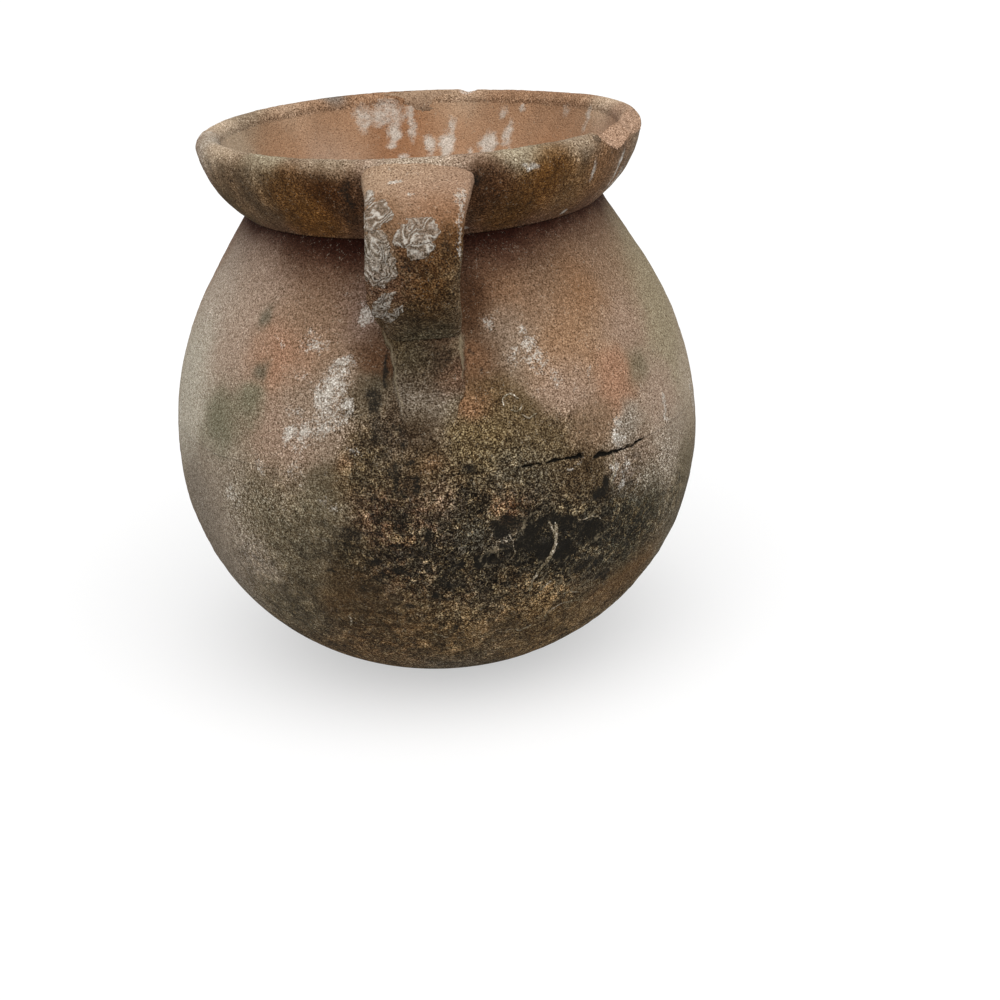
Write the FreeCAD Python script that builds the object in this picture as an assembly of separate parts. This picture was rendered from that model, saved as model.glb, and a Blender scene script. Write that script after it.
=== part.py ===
"""Round-bellied clay amphora with a flared collar and two strap handles.

The pot is built as a potter builds it, from pieces that are made apart and
luted together: a lower bowl, a shoulder wall set on its scarfed edge, a flared
rim collar set on the neck, and two pulled straps, each bedded on a clay pad
that is smeared down the shoulder. Every piece is its own solid and meets its
neighbours face to face.

Units are millimetres. The origin is the centre of the flat resting face, +Z is
up, and the handles stand on the -Y and +Y sides.
"""

import FreeCAD, Part
import math
import os

from FreeCAD import Vector

# --- Body ---------------------------------------------------------------
FOOT_RADIUS = 24.0  # flat that the pot rests on
BELLY_RADIUS = 94.2  # widest point, outside
BELLY_HEIGHT = 84.0
BODY_HEIGHT = 168.0  # up to the crease where the collar starts
NECK_RADIUS = 62.0  # outside, at the crease
SHOULDER_SLOPE = 58.0  # steepness of the straight shoulder, degrees
WALL = 6.5
FLOOR = 9.0

# --- Collar -------------------------------------------------------------
COLLAR_HEIGHT = 27.6  # crease to the crest of the lip
LIP_RADIUS = 76.9  # widest point of the lip
LIP_THICKNESS = 8.4
COLLAR_WALL = 7.4  # at the neck
COLLAR_BULGE = 2.9  # how far the outside bows out between crease and lip
COLLAR_HOLLOW = 1.6  # the same for the inside

# --- Joints between the thrown sections ------------------------------------
SEAM_HEIGHT = 97.5  # where the seam shows on the outside
SCARF_RISE = 5.0  # how much higher the joint is inside than outside

# --- Chips broken out of the lip -------------------------------------------
# Each bite: start and end azimuth in degrees from the front handle towards
# +X, depth under the crest, and how much the break falls towards the outside.
CHIPS = (
    (51.0, 72.0, 4.4, 16.0),
    (60.0, 101.0, 3.0, 22.0),
)

# --- Strap handles ----------------------------------------------------------
HANDLE_SIDES = (("front", 0.0), ("back", 180.0))
STRAP_DROP = 4.2  # top of the strap under the crest, at the lip
STRAP_REACH = 22.1  # outer face of the strap beyond the lip
STRAP_THICKNESS = 9.0
STRAP_ROOT = 9.0  # how far the raw strap runs into the collar
ROOT_WIDTH = 34.4
GRIP_WIDTH = 30.0
HEEL_WIDTH = 25.0
HEEL_HEIGHT = 150.5  # where the strap lands on the shoulder
EDGE_SQUARENESS = 3.2  # 2 is an ellipse, more is squarer
STRAP_SECTIONS = 7
SECTION_POINTS = 10

# --- Pads under the heels ---------------------------------------------------
PAD_TOP = 149.0
PAD_TIP = 108.0
PAD_WIDTH = 23.6  # at the heel
PAD_MIDDLE_WIDTH = 19.5
PAD_TIP_WIDTH = 8.0
PAD_THICKNESS = 6.8  # at the heel, off the shoulder
PAD_MIDDLE_THICKNESS = 4.2
PAD_TIP_THICKNESS = 0.8
PAD_PRESS = 1.3  # depth of the thumb-pressed hollow between the pad's rims
PAD_SINK = 6.0  # how far the raw pad runs into the wall before it is trimmed
PAD_SECTIONS = 5

RIM_HEIGHT = BODY_HEIGHT + COLLAR_HEIGHT
LIP_ROUND = LIP_THICKNESS / 2
LIP_CENTRE = LIP_RADIUS - LIP_ROUND
LIP_SPRING = RIM_HEIGHT - LIP_ROUND  # where the lip starts to round over
AXIS = (Vector(0, 0, 0), Vector(0, 0, 1))


def point(radius, height):
    """A point of an outline, in the X-Z half plane."""
    return Vector(radius, 0, height)


def line(start, end):
    return Part.LineSegment(point(*start), point(*end))


def bowed(start, end, bulge):
    """An arc between two points that bows out to the right of its chord."""
    run, rise = end[0] - start[0], end[1] - start[1]
    chord = math.hypot(run, rise)
    middle = (
        (start[0] + end[0]) / 2 + bulge * rise / chord,
        (start[1] + end[1]) / 2 - bulge * run / chord,
    )
    return Part.Arc(point(*start), point(*middle), point(*end))


def revolve(curves):
    """The solid that a closed outline sweeps about the pot's axis."""
    face = Part.Face(Part.Wire([curve.toShape() for curve in curves]))
    solid = face.revolve(*AXIS, 360)
    return solid.Solids[0] if solid.Solids else Part.Solid(solid)


def on_circle(centre, radius, degrees):
    angle = math.radians(degrees)
    return centre + radius * math.cos(angle), BELLY_HEIGHT + radius * math.sin(angle)


def lower_circle():
    """Centre radius and arc radius of the outline from the foot to the belly.

    The arc is upright at the belly and passes through the edge of the foot.
    """
    gap = BELLY_RADIUS**2 - FOOT_RADIUS**2 - BELLY_HEIGHT**2
    centre = gap / (2 * (BELLY_RADIUS - FOOT_RADIUS))
    return centre, BELLY_RADIUS - centre


def upper_circle(belly, neck):
    """The same for the arc that leaves the belly upright and runs on into the
    straight shoulder, which reaches the neck at SHOULDER_SLOPE."""
    slope = math.radians(SHOULDER_SLOPE)
    across, up = math.sin(slope), math.cos(slope)
    reach = neck * across + (BODY_HEIGHT - BELLY_HEIGHT) * up
    centre = (reach - belly) / (across - 1)
    return centre, belly - centre


def body_outline(belly, neck, foot_height):
    """Curves from foot_height up to the neck, for either face of the wall."""
    centre, _ = lower_circle()
    radius = belly - centre
    foot_angle = math.degrees(math.asin((foot_height - BELLY_HEIGHT) / radius))
    lower = [on_circle(centre, radius, foot_angle * share) for share in (1, 0.5, 0)]
    centre, radius = upper_circle(belly, neck)
    top_angle = 90 - SHOULDER_SLOPE
    upper = [on_circle(centre, radius, top_angle * share) for share in (0, 0.5, 1)]
    curves = [
        Part.Arc(*[point(*place) for place in lower]),
        Part.Arc(*[point(*place) for place in upper]),
        line(upper[2], (neck, BODY_HEIGHT)),
    ]
    return lower[0], curves


def shoulder_radius(height):
    """Outer radius of the wall between the belly and the neck."""
    centre, radius = upper_circle(BELLY_RADIUS, NECK_RADIUS)
    straight_from = BELLY_HEIGHT + radius * math.cos(math.radians(SHOULDER_SLOPE))
    if height < straight_from:
        return centre + math.sqrt(radius**2 - (height - BELLY_HEIGHT) ** 2)
    return NECK_RADIUS + (BODY_HEIGHT - height) / math.tan(math.radians(SHOULDER_SLOPE))


def outer_envelope():
    """The whole pot without its handles, filled in."""
    foot, body = body_outline(BELLY_RADIUS, NECK_RADIUS, 0.0)
    inside = LIP_RADIUS - LIP_THICKNESS
    lip = Part.Arc(
        point(LIP_RADIUS, LIP_SPRING), point(LIP_CENTRE, RIM_HEIGHT), point(inside, LIP_SPRING)
    )
    return revolve(
        [
            line((0, 0), foot),
            *body,
            bowed((NECK_RADIUS, BODY_HEIGHT), (LIP_RADIUS, LIP_SPRING), COLLAR_BULGE),
            lip,
            line((inside, LIP_SPRING), (0, LIP_SPRING)),
            line((0, LIP_SPRING), (0, 0)),
        ]
    )


def cavity():
    """The space inside the pot, from the floor to the springing of the lip."""
    throat = NECK_RADIUS - COLLAR_WALL
    inside = LIP_RADIUS - LIP_THICKNESS
    floor_edge, body = body_outline(BELLY_RADIUS - WALL, throat, FLOOR)
    return revolve(
        [
            line((0, FLOOR), floor_edge),
            *body,
            bowed((throat, BODY_HEIGHT), (inside, LIP_SPRING), COLLAR_HOLLOW),
            line((inside, LIP_SPRING), (0, LIP_SPRING)),
            line((0, LIP_SPRING), (0, FLOOR)),
        ]
    )


def below_seam():
    """Everything under the scarf joint between the bowl and the shoulder."""
    radius = shoulder_radius(SEAM_HEIGHT)
    beyond = BELLY_RADIUS + WALL
    inner = (radius - 2 * WALL, SEAM_HEIGHT + 2 * SCARF_RISE)
    return revolve(
        [
            line((0, -FLOOR), (beyond, -FLOOR)),
            line((beyond, -FLOOR), (beyond, SEAM_HEIGHT)),
            line((beyond, SEAM_HEIGHT), (radius, SEAM_HEIGHT)),
            line((radius, SEAM_HEIGHT), inner),
            line(inner, (0, inner[1])),
            line((0, inner[1]), (0, -FLOOR)),
        ]
    )


def below_neck():
    """Everything under the flat seat that the collar is luted on."""
    return Part.makeCylinder(BELLY_RADIUS + WALL, BODY_HEIGHT + FLOOR, point(0, -FLOOR))


def chip_cutter(start, end, depth, tilt):
    """A shallow round-bottomed bite over the lip between two azimuths."""
    middle = math.radians((start + end) / 2)
    half_chord = LIP_CENTRE * math.sin(math.radians((end - start) / 2))
    radius = (half_chord**2 + depth**2) / (2 * depth)
    outward = Vector(math.sin(middle), -math.cos(middle), 0)
    lean = math.radians(tilt)
    axis = outward * math.cos(lean) + Vector(0, 0, -math.sin(lean))
    upright = outward * math.sin(lean) + Vector(0, 0, math.cos(lean))
    bottom = outward * LIP_CENTRE + Vector(0, 0, RIM_HEIGHT - depth)
    length = 4 * LIP_THICKNESS
    origin = bottom + upright * radius - axis * (length / 2)
    return Part.makeCylinder(radius, length, origin, axis)


def section_wire(centre, across, outward, width, thickness, press=0.0):
    """A closed, rounded-rectangle-like section of pulled clay, which a thumb
    may have pressed hollow along the middle of its outer face."""
    points = []
    power = 2.0 / EDGE_SQUARENESS
    for index in range(SECTION_POINTS):
        angle = math.pi / 2 + 2 * math.pi * index / SECTION_POINTS
        cosine, sine = math.cos(angle), math.sin(angle)
        u = math.copysign(abs(cosine) ** power, cosine) * width / 2
        v = math.copysign(abs(sine) ** power, sine) * thickness / 2
        if index == 0:
            v -= press
        points.append(centre + across * u + outward * v)
    curve = Part.BSplineCurve()
    curve.interpolate(Points=points, PeriodicFlag=True)
    return Part.Wire([curve.toShape()])


def blend(values, amount):
    """Smooth interpolation through evenly spaced values."""
    place = min(max(amount, 0.0), 1.0) * (len(values) - 1)
    index = min(int(place), len(values) - 2)
    local = place - index
    local = local * local * (3 - 2 * local)
    return values[index] * (1 - local) + values[index + 1] * local


def largest(shape):
    return max(shape.Solids, key=lambda solid: solid.Volume)


def raw_strap():
    """One strap on the -Y side, running on into the collar and the shoulder."""
    top = RIM_HEIGHT - STRAP_DROP - STRAP_THICKNESS / 2
    out = LIP_RADIUS + STRAP_REACH - STRAP_THICKNESS / 2
    landing = shoulder_radius(HEEL_HEIGHT)
    middle = (top + HEEL_HEIGHT) / 2
    path = Part.BSplineCurve()
    path.interpolate(
        [
            Vector(0, -(LIP_RADIUS - STRAP_ROOT), top + 1.4),
            Vector(0, -(LIP_RADIUS + 5), top - 2.3),
            Vector(0, -(out - 3), middle + 10.5),
            Vector(0, -out, middle - 1),
            Vector(0, -(out - 3.2), HEEL_HEIGHT + 6.5),
            Vector(0, -(landing + 1), HEEL_HEIGHT - 6),
        ]
    )
    first, last = path.FirstParameter, path.LastParameter
    across = Vector(1, 0, 0)
    widths = (ROOT_WIDTH, ROOT_WIDTH, GRIP_WIDTH, HEEL_WIDTH + 2, HEEL_WIDTH)
    wires = []
    for index in range(STRAP_SECTIONS):
        amount = index / (STRAP_SECTIONS - 1)
        parameter = first + (last - first) * amount
        tangent = path.tangent(parameter)[0]
        outward = across.cross(tangent)
        width = blend(widths, amount)
        wires.append(section_wire(path.value(parameter), across, outward, width, STRAP_THICKNESS))
    return largest(Part.makeLoft(wires, True, False))


def raw_pad():
    """The smeared pad under one heel, running on into the shoulder."""
    wires = []
    across = Vector(1, 0, 0)
    for index in range(PAD_SECTIONS):
        amount = index / (PAD_SECTIONS - 1)
        height = PAD_TOP + (PAD_TIP - PAD_TOP) * amount
        slope = shoulder_radius(height + 0.5) - shoulder_radius(height - 0.5)
        outward = Vector(0, -1, -slope).normalize()
        width = blend((PAD_WIDTH, PAD_WIDTH, PAD_MIDDLE_WIDTH, PAD_TIP_WIDTH), amount)
        thickness = blend((PAD_THICKNESS, PAD_MIDDLE_THICKNESS, PAD_TIP_THICKNESS), amount)
        press = blend((PAD_PRESS, PAD_PRESS, 0.0), amount)
        surface = Vector(0, -shoulder_radius(height), height)
        centre = surface + outward * ((thickness - PAD_SINK) / 2)
        wires.append(section_wire(centre, across, outward, width, thickness + PAD_SINK, press))
    return largest(Part.makeLoft(wires, True, False))


def build():
    envelope = outer_envelope()
    vessel = envelope.cut(cavity())
    seam, neck = below_seam(), below_neck()
    flared_rim = vessel.cut(neck)
    for chip in CHIPS:
        flared_rim = flared_rim.cut(chip_cutter(*chip))
    nodes = {
        "base_bowl": vessel.common(seam),
        "shoulder_wall": vessel.common(neck).cut(seam),
        "flared_rim": flared_rim,
    }
    pad = raw_pad()
    strap = raw_strap().cut(envelope).cut(pad)
    pad = pad.cut(envelope)
    for side, turn in HANDLE_SIDES:
        for name, shape in (("handle", strap), ("handle_pad", pad)):
            turned = shape.copy()
            turned.rotate(*AXIS, turn)
            nodes[side + "_" + name] = turned
    return nodes


os.makedirs("parts", exist_ok=True)
for node, shape in build().items():
    largest(shape).exportStep("parts/" + node + ".step")
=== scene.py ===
"""Looks of a round-bellied clay amphora: hand-made surfaces and weathered finishes.

Every clay section of the frame is stood for by a closed, dense mesh of the
same form, which adds what hands, fire and burial leave on it: the wobble of
the wheel, throwing lines, pits, broken lip, a cracked seam, lime crusts and
root threads. Stains are painted onto the points as masks, and the clay
materials break those masks up with grain.

Lengths on the pot are in millimetres until a mesh is made. Places on the body
are given as an azimuth in degrees, 0 at the front handle and growing towards
+X, and a height.
"""

import math
from types import SimpleNamespace

import bpy
import numpy as np
from mathutils import Matrix, Vector


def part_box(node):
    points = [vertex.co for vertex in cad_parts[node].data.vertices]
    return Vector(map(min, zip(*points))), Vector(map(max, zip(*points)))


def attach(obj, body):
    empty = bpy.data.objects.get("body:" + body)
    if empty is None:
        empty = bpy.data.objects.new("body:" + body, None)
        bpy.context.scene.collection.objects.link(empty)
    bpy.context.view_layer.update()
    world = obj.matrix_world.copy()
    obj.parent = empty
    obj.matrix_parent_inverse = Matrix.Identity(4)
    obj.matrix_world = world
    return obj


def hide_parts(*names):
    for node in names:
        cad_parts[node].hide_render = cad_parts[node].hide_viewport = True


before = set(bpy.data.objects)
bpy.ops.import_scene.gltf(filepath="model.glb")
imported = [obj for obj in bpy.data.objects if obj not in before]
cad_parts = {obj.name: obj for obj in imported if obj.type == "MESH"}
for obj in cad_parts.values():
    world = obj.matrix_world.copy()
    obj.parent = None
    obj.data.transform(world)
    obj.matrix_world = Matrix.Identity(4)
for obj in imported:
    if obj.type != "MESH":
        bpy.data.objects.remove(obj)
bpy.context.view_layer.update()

MM = 0.001


def span(node):
    """Lowest and highest corner of a clay section, in millimetres."""
    low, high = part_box(node)
    return np.array(low) / MM, np.array(high) / MM


# --- Sizes taken from the frame -------------------------------------------
BELLY_RADIUS = span("base_bowl")[1][0]
SEAM_HEIGHT = span("shoulder_wall")[0][2]
SCARF_TOP = span("base_bowl")[1][2]
BODY_HEIGHT = span("shoulder_wall")[1][2]
RIM_HEIGHT = span("flared_rim")[1][2]
LIP_RADIUS = -span("flared_rim")[0][0]
STRAP_OUT = -span("front_handle")[0][1]
PAD_LOW = span("front_handle_pad")[0][2]

# --- Sizes of the form inside those boxes ----------------------------------
FOOT_RADIUS = 24.0
BELLY_HEIGHT = 84.0
NECK_RADIUS = 62.0
SHOULDER_SLOPE = 58.0
WALL = 6.5
FLOOR = 9.0
COLLAR_WALL = 7.4
COLLAR_BULGE = 2.9
COLLAR_HOLLOW = 1.6
LIP_THICKNESS = 8.4
STRAP_THICKNESS = 9.0

LIP_ROUND = LIP_THICKNESS / 2
LIP_CENTRE = LIP_RADIUS - LIP_ROUND
LIP_SPRING = RIM_HEIGHT - LIP_ROUND

# --- Mesh fineness -----------------------------------------------------------
COLUMNS = 640  # round the outside of the body and the collar
INNER_COLUMNS = 160
ROW = 0.95  # between rows of the body's outside
SEAM_ROW = 0.42  # close to the seam
SEAM_BAND = 3.0  # height of the close rows on either side of the seam
NECK_ROW = 0.4
NECK_BAND = 2.0
FOOT_ROW = 2.2
COARSE_RUN = 27.0  # the wall below this has half as many columns
COLLAR_ROW = 0.72
LIP_ROW = 0.6
INNER_ROW = 2.6
FRONT_CROWDING = 0.3  # how much closer the columns stand at the front

# --- Colours, as they look on the clay, 0 to 255 -----------------------------
COLOURS = {
    "pink": (153, 127, 107),
    "rose": (160, 137, 118),
    "rosy": (158, 119, 93),
    "dusty pink": (138, 118, 99),
    "mauve": (127, 104, 90),
    "warm rose": (147, 113, 84),
    "pale pink": (169, 153, 132),
    "pale rose": (178, 162, 145),
    "pale stone": (186, 176, 158),
    "pale grey": (178, 166, 149),
    "greige": (160, 145, 127),
    "bone": (200, 178, 152),
    "pale khaki": (172, 158, 138),
    "dim khaki": (157, 144, 120),
    "clay brown": (126, 101, 78),
    "terracotta": (137, 110, 87),
    "burnt orange": (138, 102, 72),
    "cocoa": (88, 63, 44),
    "maroon": (78, 52, 33),
    "deep shade": (40, 15, 8),
    "dull khaki": (118, 106, 84),
    "dull tan": (110, 92, 70),
    "umber light": (101, 80, 57),
    "earth brown": (88, 67, 43),
    "bark": (69, 53, 34),
    "peat": (54, 46, 32),
    "straw": (88, 71, 47),
    "moss": (89, 78, 60),
    "lichen": (62, 57, 43),
    "rust brown": (74, 48, 27),
    "deep brown": (66, 42, 24),
    "deep amber": (66, 36, 12),
    "dark gold": (90, 61, 31),
    "amber brown": (106, 79, 50),
    "beige": (150, 132, 110),
    "grey beige": (140, 128, 110),
    "orange": (154, 119, 91),
    "rust": (142, 102, 72),
    "dusk": (112, 82, 62),
    "khaki": (151, 137, 111),
    "olive": (112, 108, 86),
    "green black": (70, 72, 58),
    "ochre": (116, 89, 56),
    "dark ochre": (98, 80, 52),
    "gold": (104, 69, 32),
    "brown": (92, 74, 50),
    "umber": (82, 66, 50),
    "dark brown": (66, 52, 38),
    "ash": (139, 127, 112),
    "dark ash": (98, 90, 75),
    "slate": (104, 106, 106),
    "tan": (176, 148, 122),
    "tan pink": (170, 138, 114),
    "orange brown": (118, 86, 58),
    "dark olive": (84, 76, 58),
    "earth": (150, 126, 88),
    "dim earth": (130, 110, 80),
    "lime": (208, 200, 188),
    "grit": (200, 188, 168),
    "crust": (142, 130, 116),
    "crust white": (212, 204, 192),
    "soot": (25, 22, 17),
}


# ---------------------------------------------------------------------------
# Noise
# ---------------------------------------------------------------------------
HASH_STEPS = np.array([73856093, 19349663, 83492791])
HASH_MASK = 0xFFFFFFFF
HASH_FACTORS = (0x2C1B3C6D, 0x297A2D39)
SEED_STEP = 668265263
TURN = np.array([[0.36, 0.48, -0.8], [-0.8, 0.6, 0.0], [0.48, 0.64, 0.6]])
OCTAVE_WEIGHT = 0.55  # of each finer octave against the one before
OCTAVE_SCALE = 2.03
OCTAVE_SHIFT = 17.3
OCTAVE_SEEDS = 31  # seeds set aside for the octaves of one noise


def hashed(cell, seed):
    """A number from 0 to 1 for each cell of a grid, the same on every run."""
    key = (cell * HASH_STEPS).sum(1) + seed * SEED_STEP
    for factor in HASH_FACTORS:
        key = key & HASH_MASK
        key = (key ^ (key >> 15)) * factor
    key = key & HASH_MASK
    return (key ^ (key >> 15)) / HASH_MASK


def value_noise(spots, seed):
    """Blends the numbers at the corners of each spot's cell, 0 to 1."""
    cell = np.floor(spots).astype(np.int64)
    local = spots - cell
    fade = local**3 * (local * (local * 6 - 15) + 10)
    total = np.zeros(len(spots))
    for corner in range(8):
        step = np.array((corner & 1, corner >> 1 & 1, corner >> 2))
        weight = np.where(step, fade, 1 - fade).prod(1)
        total += weight * hashed(cell + step, seed)
    return total


def rough(points, size, octaves=3, seed=0):
    """Soft noise from about -1 to 1, with its largest lumps of that size."""
    total = np.zeros(len(points))
    weight, reach = 1.0, 0.0
    spots = points / size
    for octave in range(octaves):
        total += weight * (2 * value_noise(spots, seed * OCTAVE_SEEDS + octave) - 1)
        reach += weight
        weight *= OCTAVE_WEIGHT
        spots = spots @ TURN * OCTAVE_SCALE + OCTAVE_SHIFT
    return total / reach * 1.6


def ridged(points, size, octaves=3, seed=0):
    """Noise with sharp crests, from 0 to 1."""
    total = np.zeros(len(points))
    weight, reach = 1.0, 0.0
    spots = points / size
    for octave in range(octaves):
        crest = 1 - np.abs(2 * value_noise(spots, seed * OCTAVE_SEEDS + octave) - 1) * 2.2
        total += weight * np.clip(crest, 0, 1)
        reach += weight
        weight *= OCTAVE_WEIGHT
        spots = spots @ TURN * OCTAVE_SCALE + OCTAVE_SHIFT
    return total / reach


def smooth(value, low, high):
    """0 below low, 1 above high, and an even ease between them."""
    share = np.clip((value - low) / (high - low), 0, 1)
    return share * share * (3 - 2 * share)


# ---------------------------------------------------------------------------
# Outlines of the turned sections
# ---------------------------------------------------------------------------
class Outline:
    """A line in the half plane through the pot's axis, read by its length."""

    def __init__(self, points):
        self.points = np.array(points, float)
        steps = np.linalg.norm(np.diff(self.points, axis=0), axis=1)
        self.run = np.concatenate([[0], np.cumsum(steps)])
        self.length = self.run[-1]
        along = np.gradient(self.points, self.run, axis=0)
        along /= np.linalg.norm(along, axis=1)[:, None]
        self.normal = np.stack([along[:, 1], -along[:, 0]], 1)

    def read(self, table, distance):
        """Both columns of a table at a length along the line."""
        return [np.interp(distance, self.run, table[:, axis]) for axis in (0, 1)]

    def at(self, distance):
        """Radius and height at a length along the line."""
        return self.read(self.points, distance)

    def facing(self, distance):
        """Which way the surface faces there: outward and upward."""
        return self.read(self.normal, distance)

    def distance(self, height):
        """How far along the line a height is, on a line that only rises."""
        return np.interp(height, self.points[:, 1], self.run)


def arc(centre, radius, start, end, count=160):
    """Points on a circle from one angle to another, in degrees."""
    angles = np.radians(np.linspace(start, end, count))
    return [(centre[0] + radius * math.cos(a), centre[1] + radius * math.sin(a)) for a in angles]


def bowed(start, end, bulge, count=80):
    """Points on an arc that bows out to the right of its chord."""
    start, end = np.array(start), np.array(end)
    chord = end - start
    length = np.linalg.norm(chord)
    side = np.array([chord[1], -chord[0]]) / length
    share = np.linspace(0, 1, count)[:, None]
    return start + chord * share + side * bulge * 4 * share * (1 - share)


def body_points(belly, neck, foot_height):
    """The wall's outline from foot_height to the neck, as the frame has it."""
    gap = BELLY_RADIUS**2 - FOOT_RADIUS**2 - BELLY_HEIGHT**2
    low_centre = gap / (2 * (BELLY_RADIUS - FOOT_RADIUS))
    low_radius = belly - low_centre
    slope = math.radians(SHOULDER_SLOPE)
    reach = neck * math.sin(slope) + (BODY_HEIGHT - BELLY_HEIGHT) * math.cos(slope)
    high_centre = (reach - belly) / (math.sin(slope) - 1)
    foot_angle = math.degrees(math.asin((foot_height - BELLY_HEIGHT) / low_radius))
    lower = arc((low_centre, BELLY_HEIGHT), low_radius, foot_angle, 0)
    upper = arc((high_centre, BELLY_HEIGHT), belly - high_centre, 0, 90 - SHOULDER_SLOPE)
    top = np.linspace(upper[-1], (neck, BODY_HEIGHT), 60)
    return [*lower, *upper[1:], *top[1:]]


BODY = Outline(body_points(BELLY_RADIUS, NECK_RADIUS, 0.0))
INSIDE = Outline(body_points(BELLY_RADIUS - WALL, NECK_RADIUS - COLLAR_WALL, FLOOR))
SEAM = BODY.distance(SEAM_HEIGHT)
INNER_SEAM = INSIDE.distance(SCARF_TOP)
COLLAR = Outline(bowed((NECK_RADIUS, BODY_HEIGHT), (LIP_RADIUS, LIP_SPRING), COLLAR_BULGE))
LIP = Outline(arc((LIP_CENTRE, LIP_SPRING), LIP_ROUND, 0, 180, 60))
THROAT = Outline(
    bowed(
        (LIP_RADIUS - LIP_THICKNESS, LIP_SPRING),
        (NECK_RADIUS - COLLAR_WALL, BODY_HEIGHT),
        -COLLAR_HOLLOW,
    )
)


# ---------------------------------------------------------------------------
# Rings into closed skins
# ---------------------------------------------------------------------------
def azimuths(count):
    """Ring positions in degrees, standing closer together at the front."""
    turn = np.linspace(-math.pi, math.pi, count, endpoint=False)
    return np.degrees(turn - FRONT_CROWDING * np.sin(turn))


def ring(outline, distance, count, side, run):
    """One ring of points. side names the face, run its length along the outline."""
    azimuth = azimuths(count) if count > 1 else np.zeros(1)
    radius, height = outline.at(np.broadcast_to(distance, azimuth.shape))
    outward, upward = outline.facing(np.broadcast_to(distance, azimuth.shape))
    return SimpleNamespace(
        azimuth=azimuth,
        radius=radius,
        height=height,
        outward=outward,
        upward=upward,
        side=np.full(count, side),
        run=np.broadcast_to(run, azimuth.shape).astype(float),
    )


def rows(length, step):
    """Even stops from 0 to a length, about a step apart."""
    return np.linspace(0, length, max(2, int(round(length / step)) + 1))


def stitch(start, count, next_start, next_count):
    """Faces between two rings, whose counts are equal or double each other."""
    here = np.arange(count)
    there = np.arange(next_count)
    if count == next_count:
        beside = (here + 1) % count
        quads = [start + here, start + beside, next_start + beside, next_start + here]
        return np.stack(quads, 1).tolist()
    if next_count == 1:
        beside = (here + 1) % count
        tip = np.full(count, next_start)
        return np.stack([start + here, start + beside, tip], 1).tolist()
    if count == 1:
        beside = (there + 1) % next_count
        tip = np.full(next_count, start)
        return np.stack([tip, next_start + beside, next_start + there], 1).tolist()
    if count == 2 * next_count:
        left, middle, right = 2 * there, 2 * there + 1, (2 * there + 2) % count
        beside = (there + 1) % next_count
        triangles = [
            (start + left, start + middle, next_start + there),
            (start + middle, next_start + beside, next_start + there),
            (start + middle, start + right, next_start + beside),
        ]
        return np.concatenate([np.stack(t, 1) for t in triangles]).tolist()
    if next_count == 2 * count:
        left, middle, right = 2 * here, 2 * here + 1, (2 * here + 2) % next_count
        beside = (here + 1) % count
        triangles = [
            (start + here, next_start + middle, next_start + left),
            (start + here, start + beside, next_start + middle),
            (start + beside, next_start + right, next_start + middle),
        ]
        return np.concatenate([np.stack(t, 1) for t in triangles]).tolist()
    raise ValueError("rings of %d and %d points don't meet" % (count, next_count))


def skin(rings, closed):
    """Joins rings into one closed skin: places of its points, faces, which stay flat."""
    counts = [len(r.azimuth) for r in rings]
    starts = np.concatenate([[0], np.cumsum(counts)[:-1]]).tolist()
    faces, flat = [], []
    last = len(rings) if closed else len(rings) - 1
    for index in range(last):
        other = (index + 1) % len(rings)
        fresh = stitch(starts[index], counts[index], starts[other], counts[other])
        faces += fresh
        joint = "joint" in (rings[index].side[0], rings[other].side[0])
        flat += [joint] * len(fresh)
    place = SimpleNamespace()
    for name in ("azimuth", "radius", "height", "outward", "upward", "side", "run"):
        setattr(place, name, np.concatenate([getattr(r, name) for r in rings]))
    turn = np.radians(place.azimuth)
    place.ahead = np.stack([np.sin(turn), -np.cos(turn)], 1)
    place.points = np.column_stack([place.ahead * place.radius[:, None], place.height])
    place.normal = np.column_stack([place.ahead * place.outward[:, None], place.upward])
    return place, faces, flat


# Azimuth, and how far the seam stands above level there
SEAM_WANDER = (
    (-180, 0),
    (-60, -0.3),
    (-20, 0.4),
    (8, 0.6),
    (20, 0.8),
    (25, 0.8),
    (31, -0.2),
    (35, -1.2),
    (43, -2.3),
    (49, -1.9),
    (75, -0.6),
    (180, 0),
)
WANDER_REACH = 9.0  # how far from the seam the rows still follow it


def seam_shift(azimuth, run):
    """How far the luted seam strays from level, fading away above and below."""
    knots = np.array(SEAM_WANDER, float)
    shift = np.interp(azimuth, knots[:, 0], knots[:, 1])
    shift += 0.35 * np.sin(np.radians(azimuth) * 23) * np.cos(np.radians(azimuth) * 7)
    return shift * np.exp(-(((run - SEAM) / WANDER_REACH) ** 2))


def body_rings(start, end, step, count):
    """Rings of the wall's outside between two places along its outline."""
    rings = []
    for stop in rows(end - start, step) + start:
        shifted = stop + seam_shift(azimuths(count), stop)
        rings.append(ring(BODY, shifted, count, "outer", stop))
    return rings


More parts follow.
